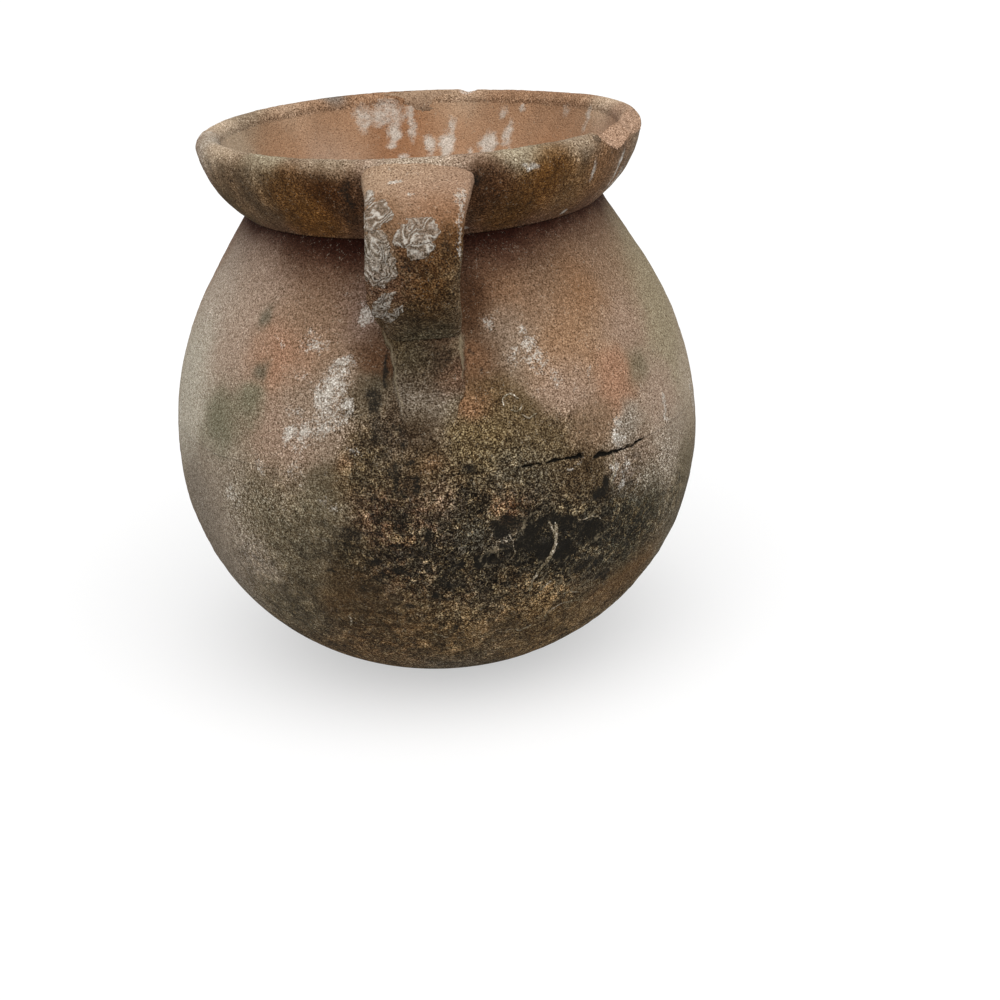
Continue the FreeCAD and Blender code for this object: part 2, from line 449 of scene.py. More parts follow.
def bowl_rings():
    """The bowl, from the middle of the foot over the wall to the middle of its floor."""
    half, quarter = COLUMNS // 2, COLUMNS // 4
    foot = Outline([(0, 0), (FOOT_RADIUS, 0)])
    rings = [ring(foot, 0.0, 1, "foot", 0)]
    for distance in rows(FOOT_RADIUS, FOOT_ROW)[1:-1]:
        rings.append(ring(foot, distance, quarter, "foot", 0))
    rings += body_rings(0.0, COARSE_RUN, ROW, half)
    rings += body_rings(COARSE_RUN + ROW, SEAM - SEAM_BAND, ROW, COLUMNS)
    rings += body_rings(SEAM - SEAM_BAND + SEAM_ROW, SEAM, SEAM_ROW, COLUMNS)
    outer = rings[-1]
    inner_point = np.array(INSIDE.at(INNER_SEAM))
    for share, count in ((0.34, half), (0.67, quarter), (1.0, INNER_COLUMNS)):
        rings.append(joint_ring(outer, inner_point, share, count))
    for distance in rows(INNER_SEAM, INNER_ROW)[::-1][1:]:
        inside = ring(INSIDE, distance, INNER_COLUMNS, "inner", 0)
        inside.outward, inside.upward = -inside.outward, -inside.upward
        rings.append(inside)
    floor_edge = INSIDE.points[0][0]
    ground = Outline([(floor_edge, FLOOR), (0, FLOOR)])
    for distance in rows(floor_edge, INNER_ROW)[1:-1]:
        rings.append(ring(ground, distance, INNER_COLUMNS, "inner", 0))
    rings.append(ring(ground, floor_edge, 1, "inner", 0))
    return rings


def joint_ring(outer, inner_point, share, count):
    """A ring on a luted face, from an outer ring in to a point of the inside."""
    azimuth = azimuths(count)
    pick = np.arange(count) * (len(outer.azimuth) // count)
    radius = outer.radius[pick] * (1 - share) + inner_point[0] * share
    height = outer.height[pick] * (1 - share) + inner_point[1] * share
    return SimpleNamespace(
        azimuth=azimuth,
        radius=radius,
        height=height,
        outward=np.ones(count),
        upward=np.zeros(count),
        side=np.full(count, "joint"),
        run=np.zeros(count),
    )


def shoulder_rings():
    """The shoulder, up its outside, across the neck, down inside and over the seam."""
    half, quarter = COLUMNS // 2, COLUMNS // 4
    rings = body_rings(SEAM, SEAM + SEAM_BAND, SEAM_ROW, COLUMNS)
    rings += body_rings(SEAM + SEAM_BAND + ROW, BODY.length - NECK_BAND, ROW, COLUMNS)
    rings += body_rings(BODY.length - NECK_BAND + NECK_ROW, BODY.length, NECK_ROW, COLUMNS)
    neck = rings[-1]
    seat_inside = np.array(INSIDE.points[-1])
    for share, count in ((0.34, half), (0.67, quarter)):
        rings.append(joint_ring(neck, seat_inside, share, count))
    for distance in (rows(INSIDE.length - INNER_SEAM, INNER_ROW) + INNER_SEAM)[::-1]:
        inside = ring(INSIDE, distance, INNER_COLUMNS, "inner", 0)
        inside.outward, inside.upward = -inside.outward, -inside.upward
        rings.append(inside)
    inner_point = np.array(INSIDE.at(INNER_SEAM))
    for share, count in ((0.67, quarter), (0.34, half)):
        rings.append(joint_ring(rings[0], inner_point, share, count))
    return rings


def collar_rings():
    """The collar, up its outside, over the lip, down the throat and across its joint."""
    half, quarter = COLUMNS // 2, COLUMNS // 4
    rings = []
    for distance in rows(COLLAR.length, COLLAR_ROW):
        rings.append(ring(COLLAR, distance, COLUMNS, "collar", distance))
    for distance in rows(LIP.length, LIP_ROW)[1:]:
        rings.append(ring(LIP, distance, COLUMNS, "lip", COLLAR.length + distance))
    beyond = COLLAR.length + LIP.length
    for distance in rows(THROAT.length, COLLAR_ROW)[1:]:
        rings.append(ring(THROAT, distance, COLUMNS, "throat", beyond + distance))
    outer, inner = rings[0], rings[-1]
    inner_point = np.array(THROAT.points[-1])
    for share, count in ((0.75, half), (0.5, quarter), (0.25, half)):
        rings.append(joint_ring(outer, inner_point, share, count))
    return rings


# ---------------------------------------------------------------------------
# Marks on the body
# ---------------------------------------------------------------------------
def stray(place, size, amount, seed):
    """Sideways and upward shifts that break up the edge of a mark."""
    return (
        amount * rough(place.points, size, 3, seed),
        amount * rough(place.points, size, 3, seed + 7),
    )


def body_distance(place, azimuth, height):
    """Distances across and up the wall from a place on it."""
    run = BODY.distance(height)
    radius = BODY.at(run)[0]
    turn = (place.azimuth - azimuth + 180) % 360 - 180
    return np.radians(turn) * radius, place.run - run


def stamped(place, marks, distance, seed, size=5.0, amount=2.2):
    """Adds up soft marks: place, half width, half height and strength of each."""
    shift_across, shift_up = stray(place, size, amount, seed)
    clear = np.ones(len(place.points))
    for first, second, half_width, half_height, strength in marks:
        across, up = distance(place, first, second)
        reach = np.hypot((across + shift_across) / half_width, (up + shift_up) / half_height)
        clear *= 1 - strength * smooth(1.55 - reach, 0, 1.1)
    return 1 - clear


def crusted(place, crusts, distance, seed):
    """Thick crusts: where they lie, how many folds in each point is, and the crests."""
    shift_across, shift_up = stray(place, 2.4, 1.1, seed)
    waves = rough(place.points, 4.2, 2, seed + 3)
    mask = np.zeros(len(place.points))
    phase = 0.75 * waves
    for first, second, half_width, half_height, lean, folds in crusts:
        across, up = distance(place, first, second)
        across, up = across + shift_across, up + shift_up
        tip = math.radians(lean)
        along = (across * math.cos(tip) + up * math.sin(tip)) / half_width
        beside = (up * math.cos(tip) - across * math.sin(tip)) / half_height
        reach = np.hypot(along, beside)
        level = smooth(1.16 - reach, 0, 0.22)
        chevron = np.abs(along + 0.3 * waves) + 0.8 * beside
        phase = np.where(level > mask, 0.8 * chevron * folds + 0.9 * waves, phase)
        mask = np.maximum(mask, level)
    crest = np.cos(2 * math.pi * (phase - 0.5)) * mask
    return mask, phase, crest


def tinted(place, tints, distance, base, seed, amount=3.0):
    """Blends colours between listed spots: place, reach and colour."""
    shift_across, shift_up = stray(place, 12.0, amount, seed)
    weight = np.full(len(place.points), 0.05)
    total = weight[:, None] * np.array(COLOURS[base], float)
    for first, second, reach, name in tints:
        across, up = distance(place, first, second)
        spread = ((across + shift_across) ** 2 + (up + shift_up) ** 2) / (1.25 * reach) ** 2
        share = np.exp(-1.6 * spread)
        total += share[:, None] * np.array(COLOURS[name], float)
        weight += share
    return total / weight[:, None]


# Azimuth, height, reach and colour of the patches on the body
BODY_TINTS = (
    (-50, 152, 17, "rose"),
    (-30, 152, 12, "terracotta"),
    # Painted shade in part: the two cocoa patches at (-37, 163) and (-27, 169) darken the clay just under
    # the collar, where its shade falls.
    (-37, 163, 8, "cocoa"),
    (-27, 169, 8, "cocoa"),
    (-25, 141, 8, "terracotta"),
    (-36, 134, 10, "rosy"),
    (-15, 145, 8, "mauve"),
    (-12, 134, 7, "maroon"),
    (-68, 146, 16, "pale rose"),
    (-70, 122, 16, "pale stone"),
    (-52, 129, 12, "rose"),
    (-51, 109, 9, "olive"),
    (-42, 117, 5, "olive"),
    (-40, 128, 3, "green black"),
    (-42, 143, 3, "green black"),
    (-22, 120, 12, "dusty pink"),
    (-36, 104, 12, "pink"),
    (-50, 92, 12, "greige"),
    (-70, 98, 10, "pale stone"),
    (-62, 78, 14, "ash"),
    (-38, 88, 12, "dull khaki"),
    (-24, 86, 8, "dull khaki"),
    (-48, 62, 12, "greige"),
    (-30, 70, 8, "dull khaki"),
    (-29, 60, 6, "moss"),
    (-17, 73, 6, "peat"),
    (-13, 122, 5, "bark"),
    (-14, 110, 5, "bark"),
    (-17, 103, 3, "burnt orange"),
    (0, 101, 3, "burnt orange"),
    (-9, 80, 3.4, "orange brown"),
    (-11.4, 67, 3, "orange brown"),
    (2.7, 89, 4, "terracotta"),
    (-12.4, 123, 5, "dark ash"),
    (-11.4, 127, 3, "lichen"),
    (10.6, 133, 4, "rust"),
    (9.6, 121, 4, "rust"),
    (7.5, 64, 2.4, "ochre"),
    (-6.4, 76, 2.6, "amber brown"),
    (-1.5, 64, 3.0, "clay brown"),
    (-15, 70, 2.8, "earth brown"),
    (3.4, 54, 3.2, "amber brown"),
    (-10, 56, 3.0, "clay brown"),
    (-21.6, 93.5, 7, "moss"),
    (-20, 62, 6, "bark"),
    (20, 88, 4, "dark brown"),
    (47, 82, 5, "grey beige"),
    (-5, 61, 6, "rust brown"),
    (14.3, 86.7, 4, "rust"),
    (7.2, 76.5, 3.4, "khaki"),
    (7.6, 71.5, 2.6, "khaki"),
    (7.4, 65, 3, "ochre"),
    (-14, 98, 8, "brown"),
    (-10, 84, 10, "cocoa"),
    (-6, 116, 7, "dark brown"),
    (0, 100, 7, "bark"),
    (7, 90, 8, "bark"),
    (10, 108, 7, "dark ochre"),
    (13, 122, 7, "earth brown"),
    (12, 134, 6, "cocoa"),
    # Painted shade in part: the maroon patch at (12, 148) darkens the clay beside the strap's lower end,
    # where the strap's shade falls.
    (12, 148, 8, "maroon"),
    (20, 138, 9, "dusty pink"),
    (22, 152, 9, "warm rose"),
    (30, 146, 8, "terracotta"),
    (36, 158, 10, "clay brown"),
    (24, 164, 8, "clay brown"),
    (42, 148, 9, "burnt orange"),
    (32, 134, 10, "warm rose"),
    (30, 120, 8, "pink"),
    (43, 118, 8, "rosy"),
    (54, 136, 10, "pink"),
    (58, 152, 14, "terracotta"),
    (72, 142, 14, "khaki"),
    (70, 124, 12, "khaki"),
    (52, 120, 5, "dull khaki"),
    (58, 108, 9, "rose"),
    (74, 104, 12, "pale pink"),
    (19, 113, 7, "straw"),
    (25, 106, 7, "straw"),
    (34, 108, 7, "clay brown"),
    (44, 104, 5, "ash"),
    (20, 96, 8, "moss"),
    (30, 90, 9, "bark"),
    (17, 88, 4, "rust brown"),
    (46, 90, 8, "dusty pink"),
    (60, 88, 10, "greige"),
    (66, 74, 10, "dull khaki"),
    (45, 66, 12, "lichen"),
    (26, 70, 10, "peat"),
    (13, 62, 6, "bark"),
    (-4, 60, 10, "bark"),
    (-18, 50, 12, "earth brown"),
    (-40, 42, 12, "dull khaki"),
    (-60, 48, 12, "ash"),
    (0, 36, 12, "ochre"),
    (-14, 34, 10, "amber brown"),
    (25, 40, 10, "ochre"),
    (20, 52, 8, "ochre"),
    (48, 42, 10, "amber brown"),
    (30, 22, 14, "ochre"),
    (-30, 22, 14, "amber brown"),
    (78, 50, 16, "dark ash"),
    (100, 150, 22, "khaki"),
    (100, 120, 18, "pale pink"),
    (100, 84, 20, "grey beige"),
    (105, 50, 22, "umber"),
    (128, 148, 20, "pink"),
    (132, 112, 18, "beige"),
    (130, 80, 16, "ash"),
    (150, 132, 16, "orange"),
    (156, 100, 16, "dark ash"),
    (150, 66, 18, "umber"),
    (176, 150, 16, "pink"),
    (178, 118, 12, "dusk"),
    (180, 86, 16, "brown"),
    (175, 50, 22, "brown"),
    (-160, 140, 16, "pale pink"),
    (-156, 108, 16, "orange"),
    (-152, 74, 18, "ash"),
    (-150, 44, 20, "brown"),
    (-134, 150, 18, "beige"),
    (-130, 118, 18, "pink"),
    (-124, 86, 16, "khaki"),
    (-125, 52, 20, "dark ash"),
    (-100, 150, 20, "pink"),
    (-98, 118, 18, "pale grey"),
    (-95, 84, 18, "ash"),
    (-92, 50, 20, "umber"),
    (90, 12, 30, "dark ochre"),
    (-90, 12, 30, "brown"),
    (180, 14, 30, "brown"),
)

# Azimuth, height, half width, half height and strength of the lime on the body;
# the lists for soot, weathering and worn grit read the same way
BODY_LIME = (
    (-26.5, 139, 6.0, 4.5, 0.75),
    (-36, 137, 2.2, 4.0, 0.6),
    (-20.5, 128, 4.2, 7.0, 0.82),
    (-17.0, 127, 2.6, 3.0, 0.45),
    (-23.7, 123, 3.4, 5.0, 0.45),
    (-20.6, 117, 5.4, 5.4, 0.7),
    (-26, 112, 7.0, 5.6, 0.76),
    (-30, 118, 4.0, 3.0, 0.6),
    (-23.4, 121.7, 4.6, 4.6, 0.8),
    (-28.5, 128.5, 3.0, 3.0, 0.6),
    (-21.6, 113, 4.4, 3.4, 0.8),
    (-17.4, 119.1, 2.4, 3.4, 0.7),
    (-31, 110.4, 3.4, 2.4, 0.7),
    (-18, 133, 4.0, 3.0, 0.6),
    (-13.5, 148, 3.0, 4.5, 0.85),
    (-19, 151, 5.0, 4.0, 0.4),
    (-30, 104, 7.0, 5.0, 0.4),
    (-29, 96, 8.0, 4.0, 0.36),
    (-34, 86, 9.0, 5.0, 0.34),
    (-16, 106, 2.0, 3.0, 0.6),
    (29.0, 95.0, 4.0, 1.2, 0.7),
    (-22, 88, 3.0, 2.0, 0.6),
    (-75, 100, 2.4, 9.0, 0.85),
    (-70, 138, 2.5, 6.0, 0.45),
    (-46, 84, 7.0, 4.0, 0.55),
    (-38, 98, 4.0, 3.0, 0.6),
    (-64, 72, 8.0, 6.0, 0.4),
    (-52, 58, 6.0, 3.0, 0.35),
    (23.5, 136, 4.0, 3.6, 0.8),
    (15, 142, 2.6, 2.4, 0.7),
    (20.0, 132, 5.0, 4.4, 0.55),
    (24.5, 129, 5.0, 4.6, 0.62),
    (28.0, 123, 4.0, 4.0, 0.6),
    (23.5, 120, 3.6, 2.4, 0.45),
    (32, 118, 3.0, 3.0, 0.4),
    (36.5, 122, 1.3, 4.5, 0.7),
    (33, 126, 1.0, 5.0, 0.5),
    (41.2, 103, 2.8, 5.0, 0.85),
    (58, 104, 1.4, 6.0, 0.9),
    (50, 110, 1.2, 5.0, 0.5),
    (38.6, 90, 2.0, 5.0, 0.85),
    (42.5, 91, 2.4, 4.0, 0.75),
    (41.0, 84, 1.3, 4.0, 0.7),
    (46, 84, 1.2, 5.0, 0.5),
    (77, 96, 3.0, 8.0, 0.85),
    (55, 90, 1.4, 5.0, 0.4),
    (8, 128, 0.8, 2.0, 0.4),
    (118, 132, 6.0, 8.0, 0.7),
    (126, 110, 5.0, 10.0, 0.8),
    (140, 90, 8.0, 5.0, 0.6),
    (160, 140, 5.0, 5.0, 0.7),
    (-168, 122, 8.0, 7.0, 0.8),
    (-158, 92, 7.0, 9.0, 0.6),
    (-140, 128, 4.0, 8.0, 0.7),
    (-118, 100, 7.0, 6.0, 0.8),
    (-104, 132, 5.0, 7.0, 0.6),
    (-96, 78, 8.0, 7.0, 0.5),
)

BODY_SOOT = (
    (-11.5, 122, 2.0, 9.0, 0.55),
    (-10.0, 111, 3.4, 8.0, 0.5),
    (-9.4, 131.0, 0.9, 4.6, 0.95),
    (-9.0, 127.0, 1.2, 1.6, 0.8),
    (-11.8, 121.5, 2.6, 4.0, 0.44),
    (-6.2, 113.4, 1.6, 1.4, 0.8),
    (10.2, 135.0, 1.4, 1.2, 0.7),
    (11.6, 130.0, 1.0, 1.0, 0.7),
    (-7.0, 98, 5.0, 6.0, 0.45),
    (-14, 92, 4.0, 4.0, 0.5),
    (6.6, 99.2, 3.4, 2.2, 0.72),
    (-7.9, 97.5, 1.2, 4.4, 0.85),
    (-5.2, 108.6, 1.4, 2.2, 0.8),
    (-4.2, 102.6, 2.6, 1.2, 0.85),
    (-3.3, 95.4, 1.4, 3.2, 0.85),
    (-6.2, 92, 1.2, 2.0, 0.7),
    (-1.7, 76.9, 1.3, 4.0, 0.85),
    (-14.1, 78.4, 7.0, 1.0, 0.7),
    (-13.2, 68.1, 2.4, 1.6, 0.85),
    (-8.2, 66.0, 2.2, 1.4, 0.85),
    (-12.6, 62.6, 2.8, 2.2, 0.8),
    (-1.7, 54.2, 1.9, 1.6, 1.0),
    (-8.2, 50.1, 2.6, 1.6, 0.8),
    (2.9, 39.6, 1.3, 1.3, 1.0),
    (-20.1, 38.2, 2.4, 1.2, 0.7),
    (-23.5, 63.6, 3.6, 1.0, 0.7),
    (-27.1, 71.0, 7.0, 4.6, 0.52),
    (-19.0, 77.0, 7.0, 4.0, 0.5),
    (-15.0, 59.0, 8.0, 3.6, 0.5),
    (-4.0, 71.0, 4.0, 3.0, 0.45),
    (2.0, 62.0, 6.0, 3.0, 0.5),
    (-9.0, 74.0, 3.0, 2.0, 0.45),
    (-24.0, 82.0, 4.0, 2.4, 0.4),
    (10.0, 86.0, 5.0, 2.4, 0.4),
    (2.0, 82.0, 3.6, 2.0, 0.45),
    (24.0, 88.0, 5.0, 2.2, 0.4),
    (22.0, 72.0, 14.0, 9.0, 0.5),
    (37.0, 67.0, 10.0, 8.0, 0.48),
    (19.2, 70.4, 3.6, 0.5, 1.0),
    (43.5, 83.5, 3.4, 0.45, 0.9),
    (24.0, 79.0, 5.0, 4.0, 0.6),
    (-7.5, 84.0, 6.0, 4.0, 0.4),
    (20.5, 88.0, 4.0, 2.6, 0.45),
    (-42.8, 62.2, 3.6, 1.8, 0.45),
    (3.9, 66.5, 2.0, 2.4, 0.8),
    (34.6, 83.0, 2.6, 2.6, 1.15),
    (36.0, 86.4, 1.5, 2.0, 1.0),
    (13.8, 79.4, 6.0, 3.4, 1.0),
    (19.5, 77.5, 4.4, 4.0, 0.85),
    (17.5, 71.5, 4.4, 3.6, 0.75),
    (21.4, 67.5, 3.0, 4.0, 0.9),
    (16.2, 66.0, 1.4, 3.6, 0.7),
    (9.6, 66.6, 4.4, 2.2, 1.3),
    (13.6, 70.0, 1.4, 4.0, 1.0),
    (26.0, 65.6, 5.0, 4.4, 1.0),
    (27.2, 75.4, 3.4, 2.6, 1.0),
    (32.6, 71.4, 5.6, 5.0, 1.0),
    (32.6, 57.0, 5.6, 3.6, 0.75),
    (38.6, 49.4, 3.8, 3.6, 0.75),
    (45.0, 58.0, 2.2, 2.4, 0.6),
    (47.0, 67.0, 2.0, 4.0, 0.5),
    (8.3, 56.0, 4.0, 2.0, 0.6),
    (2.4, 58.0, 5.0, 1.2, 0.6),
    (60, 62, 3.0, 6.0, 0.4),
    (150, 72, 10.0, 8.0, 0.8),
    (168, 90, 6.0, 8.0, 0.7),
    (-170, 70, 9.0, 6.0, 0.7),
    (-140, 58, 8.0, 6.0, 0.6),
    (110, 66, 6.0, 8.0, 0.6),
    (-112, 62, 6.0, 6.0, 0.5),
)

BODY_MOTTLE = (
    (2, 72, 36.0, 24.0, 0.95),
    (28, 66, 32.0, 22.0, 0.95),
    (12, 102, 14.0, 12.0, 0.4),
    (-12, 104, 9.0, 14.0, 0.6),
    (30, 103, 14.0, 8.0, 0.3),
    (58, 62, 20.0, 16.0, 0.6),
    (0, 36, 60.0, 20.0, 0.7),
    (-40, 52, 20.0, 18.0, 0.5),
    (-34, 82, 22.0, 16.0, 0.32),
    (42, 86, 12.0, 12.0, 0.35),
    (160, 74, 40.0, 24.0, 0.85),
    (-140, 56, 40.0, 18.0, 0.65),
    (110, 56, 30.0, 18.0, 0.65),
    (-95, 40, 36.0, 14.0, 0.45),
)

BODY_WORN = (
    (6, 68, 32.0, 30.0, 0.9),
    (24, 64, 30.0, 28.0, 0.75),
    (12, 104, 22.0, 16.0, 0.35),
    (-12, 104, 12.0, 18.0, 0.5),
    (34, 98, 20.0, 12.0, 0.25),
    (-36, 72, 24.0, 26.0, 0.26),
    (52, 66, 20.0, 24.0, 0.4),
    (-30, 106, 30.0, 18.0, 0.05),
    (150, 76, 50.0, 34.0, 0.34),
    (-150, 66, 50.0, 30.0, 0.3),
    (90, 60, 40.0, 24.0, 0.22),
    (-95, 56, 40.0, 24.0, 0.18),
)

# Azimuth and openness along the cracked seam
CRACK = (
    (17.0, 0.0),
    (18.5, 0.35),
    (21.5, 0.2),
    (22.5, 0.0),
    (24.0, 0.55),
    (27.0, 0.8),
    (30.0, 1.0),
    (31.4, 0.2),
    (32.2, 0.0),
    (33.8, 0.0),
    (34.6, 0.9),
    (38.0, 1.0),
    (40.0, 0.55),
    (44.0, 0.65),
    (49.0, 0.3),
    (50.5, 0.0),
)


def crack_depth(azimuth):
    """How far the seam gapes there, 0 to 1."""
    knots = np.array(CRACK)
    return np.interp(azimuth, knots[:, 0], knots[:, 1], left=0, right=0)


# Azimuth, height and radius of the scabs on the wall
BLISTERS = (
    (10.4, 68.3, 3.4),
    (12.8, 67.5, 5.2),
    (14.7, 80.5, 4.4),
    (19.5, 77.5, 5.2),
    (33.0, 70.6, 5.0),
    (33.2, 71.0, 6.4),
    (26.2, 65.3, 4.4),
    (19.0, 60.0, 5.4),
    (31.0, 57.0, 4.6),
    (38.6, 49.4, 4.4),
    (24, 54, 4.0),
    (46, 60, 4.2),
    (19, 115, 3.6),
    (31, 50, 3.6),
)


def blister_relief(place):
    """Shallow round scabs with a thin raised rim, and a mask of that rim."""
    relief = np.zeros(len(place.points))
    rim = np.zeros(len(place.points))
    shift_across, shift_up = stray(place, 5.0, 1.3, 61)
    gate = smooth(rough(place.points, 6.0, 2, 63), -0.3, 0.5)
    for azimuth, height, radius in BLISTERS:
        across, up = body_distance(place, azimuth, height)
        reach = np.hypot(across + shift_across, (up + shift_up) * 1.15)
        edge = np.exp(-(((reach - radius) / 0.5) ** 2)) * gate
        relief += 0.3 * edge - 0.3 * smooth(radius - reach, 0, 1.6)
        rim = np.maximum(rim, edge)
    return relief, rim


def pitted(place, count, seed, low, high):
    """Many small pits where grit has burned or broken out of the wall."""
    dice = np.random.default_rng(seed)
    relief = np.zeros(len(place.points))
    for _ in range(count):
        azimuth = dice.uniform(-180, 180)
        height = dice.uniform(low, high)
        radius = dice.uniform(0.7, 1.5)
        across, up = body_distance(place, azimuth, height)
        reach = np.hypot(across, up) / radius
        relief -= radius * 0.3 * smooth(1.25 - reach, 0, 0.9)
    return relief


def painted_collar_shade(place):
    """Painted shade under the collar: how dark the clay there is painted, reaching lowest by the straps.
    """
    around = np.abs((place.azimuth + 180) % 360 - 180)
    off_strap = smooth(np.minimum(around, 180 - around), 18, 55)
    drop = np.maximum(BODY_HEIGHT - place.height, 0) + 1.2 * rough(place.points, 7.0, 3, 51)
    reach = 11.0 - 5.5 * off_strap
    return (1.0 - 0.15 * off_strap) * np.exp(-((np.maximum(drop, 0) / reach) ** (1.35 - 0.35 * off_strap)))


INNER_GROUND = (150, 114, 86)


def body_masks(place):
    """Paints the body: patches and stains outside, with painted shade under the collar, and plain clay
    inside.
    """
    outside = (place.side == "outer") | (place.side == "foot")
    low = smooth(60 - place.height, 0, 40)
    ground = tinted(place, BODY_TINTS, body_distance, "beige", 11)
    lime = stamped(place, BODY_LIME, body_distance, 21)
    soot = stamped(place, BODY_SOOT, body_distance, 31, 4.0, 1.6)
    mottle = stamped(place, BODY_MOTTLE, body_distance, 41, 14.0, 6.0)
    mottle = np.maximum(mottle, 0.7 * low)
    worn = np.maximum(stamped(place, BODY_WORN, body_distance, 45, 18.0, 7.0), 0.6 * low)
    ragged = 0.8 * rough(place.points, 2.4, 3, 47)
    opening = crack_depth(place.azimuth) * (1 + 0.8 * rough(place.points, 3.0, 2, 48))
    gap = np.abs(place.run - SEAM + ragged) / (0.18 + 0.58 * opening)
    crack = smooth(opening, 0.05, 0.3) * np.exp(-(gap**2))
    # Painted shade: the ground under the collar is blended towards the deep shade colour, darkest by the
    # straps.
    painted_shade = painted_collar_shade(place)[:, None]
    ground += painted_shade * (np.array(COLOURS["deep shade"]) - ground)
    inner = ~outside
    ground[inner] = INNER_GROUND
    for mask in (lime, soot, mottle, crack, worn):
        mask[inner] = 0
    lime[inner] = 0.25 * smooth(rough(place.points[inner], 16, 3, 5), 0.1, 0.9)
    mottle[inner] = 0.25
    return dict(ground=ground, lime=lime, soot=soot, mottle=mottle, worn=worn, crack=crack)


def body_relief(place, masks):
    """How far the hand-made wall stands off its true outline."""
    points = place.points
    outer = place.side == "outer"
    offset = -0.3 + 0.34 * rough(points, 60, 2, 1)
    offset += 0.14 * rough(points, 13, 3, 2)
    offset += 0.07 * rough(points, 3.2, 2, 3)
    lines = rough(points * (1, 1, 18), 38, 3, 4)
    offset += (0.05 + 0.13 * smooth(BELLY_HEIGHT - place.height, 0, 34)) * lines
    offset += 0.22 * masks["lime"] * (0.5 + ridged(points, 2.4, 2, 6))
    offset -= 0.25 * masks["soot"] * (0.4 + rough(points, 2.2, 2, 8))
    offset += 0.16 * masks["mottle"] * rough(points, 2.6, 3, 9)
    relief, rim = blister_relief(place)
    offset += relief
    masks["rim"] = np.where(outer, rim, 0)
    offset += pitted(place, count=260, seed=5, low=20, high=164)
    offset -= 1.5 * masks["crack"]
    offset *= smooth(place.run, 0, 6)
    offset = np.minimum(offset, 0)
    inner = place.side == "inner"
    calm = 0.25 * rough(points, 40, 2, 12) + 0.2 * rough(points * (1, 1, 12), 40, 2, 13)
    return np.where(outer, offset, np.where(inner, calm, 0))


# ---------------------------------------------------------------------------
# Marks on the collar
# ---------------------------------------------------------------------------
COLLAR_RADIUS = LIP_RADIUS - 4  # on the whole, for distances round it


def collar_distance(place, azimuth, run):
    """Distances round and along the collar's outline from a place on it."""
    turn = (place.azimuth - azimuth + 180) % 360 - 180
    return np.radians(turn) * COLLAR_RADIUS, place.run - run


CREST = COLLAR.length + LIP.length / 2
THROAT_START = COLLAR.length + LIP.length


def above_crease(height):
    """Length along the collar's outside up to a height."""
    return COLLAR.distance(height)


def down_throat(height):
    """Length along the collar's outline down to a height of its inside."""
    share = np.interp(-height, -THROAT.points[:, 1], THROAT.run)
    return THROAT_START + share


# Azimuth, length along the outline, reach and colour
COLLAR_TINTS = (
    (-58, above_crease(186), 8, "umber light"),
    (-48, above_crease(180), 8, "umber light"),
    (-64, above_crease(176), 8, "straw"),
    (-44, above_crease(190), 5, "dull tan"),
    (-36, above_crease(184), 7, "dark gold"),
    (-30, above_crease(178), 8, "gold"),
    # Painted shade in part: the deep amber and maroon patches left of the strap's root, and the deep brown
    # one right of it, darken the collar where the strap's shade falls.
    (-22, above_crease(186), 6, "deep amber"),
    (-16, above_crease(182), 6, "maroon"),
    (-85, above_crease(184), 12, "dusk"),
    (18, above_crease(184), 7, "deep brown"),
    (26, above_crease(178), 8, "dark gold"),
    (34, above_crease(186), 7, "gold"),
    (44, above_crease(180), 8, "amber brown"),
    (54, above_crease(184), 7, "orange brown"),
    (66, above_crease(180), 8, "clay brown"),
    (84, above_crease(184), 12, "beige"),
    (0, CREST, 10, "pale khaki"),
    (-22, CREST, 7, "beige"),
    (-40, CREST, 6, "dim khaki"),
    (-60, CREST, 8, "bone"),
    (-80, CREST, 12, "pale grey"),
    (-100, CREST + 3, 12, "bone"),
    (25, CREST, 7, "dim khaki"),
    (45, CREST, 8, "beige"),
    (62, CREST, 5, "tan pink"),
    (80, CREST, 8, "tan pink"),
    (110, CREST, 10, "bone"),
    (140, CREST, 12, "orange"),
    (170, CREST, 12, "tan"),
    (-165, CREST, 8, "orange"),
    (-152, CREST, 4, "slate"),
    (-135, CREST, 10, "tan"),
    (-118, CREST, 10, "beige"),
    (-100, THROAT_START + 8, 10, "beige"),
    (-125, THROAT_START + 10, 12, "orange"),
    (-150, THROAT_START + 6, 12, "orange"),
    (-145, THROAT_START + 18, 10, "pink"),
    (-175, THROAT_START + 8, 12, "rust"),
    (170, THROAT_START + 18, 10, "orange"),
    (150, THROAT_START + 6, 12, "orange"),
    (125, THROAT_START + 10, 14, "orange"),
    (130, THROAT_START + 20, 8, "rust"),
    (100, THROAT_START + 8, 12, "tan pink"),
    (60, THROAT_START + 8, 14, "orange"),
    (0, THROAT_START + 10, 20, "pink"),
    (-60, THROAT_START + 10, 16, "beige"),
    (120, above_crease(184), 14, "orange"),
    (150, above_crease(180), 12, "dusk"),
    (180, above_crease(184), 12, "brown"),
    (-150, above_crease(182), 12, "orange brown"),
    (-120, above_crease(182), 14, "dark ash"),
)

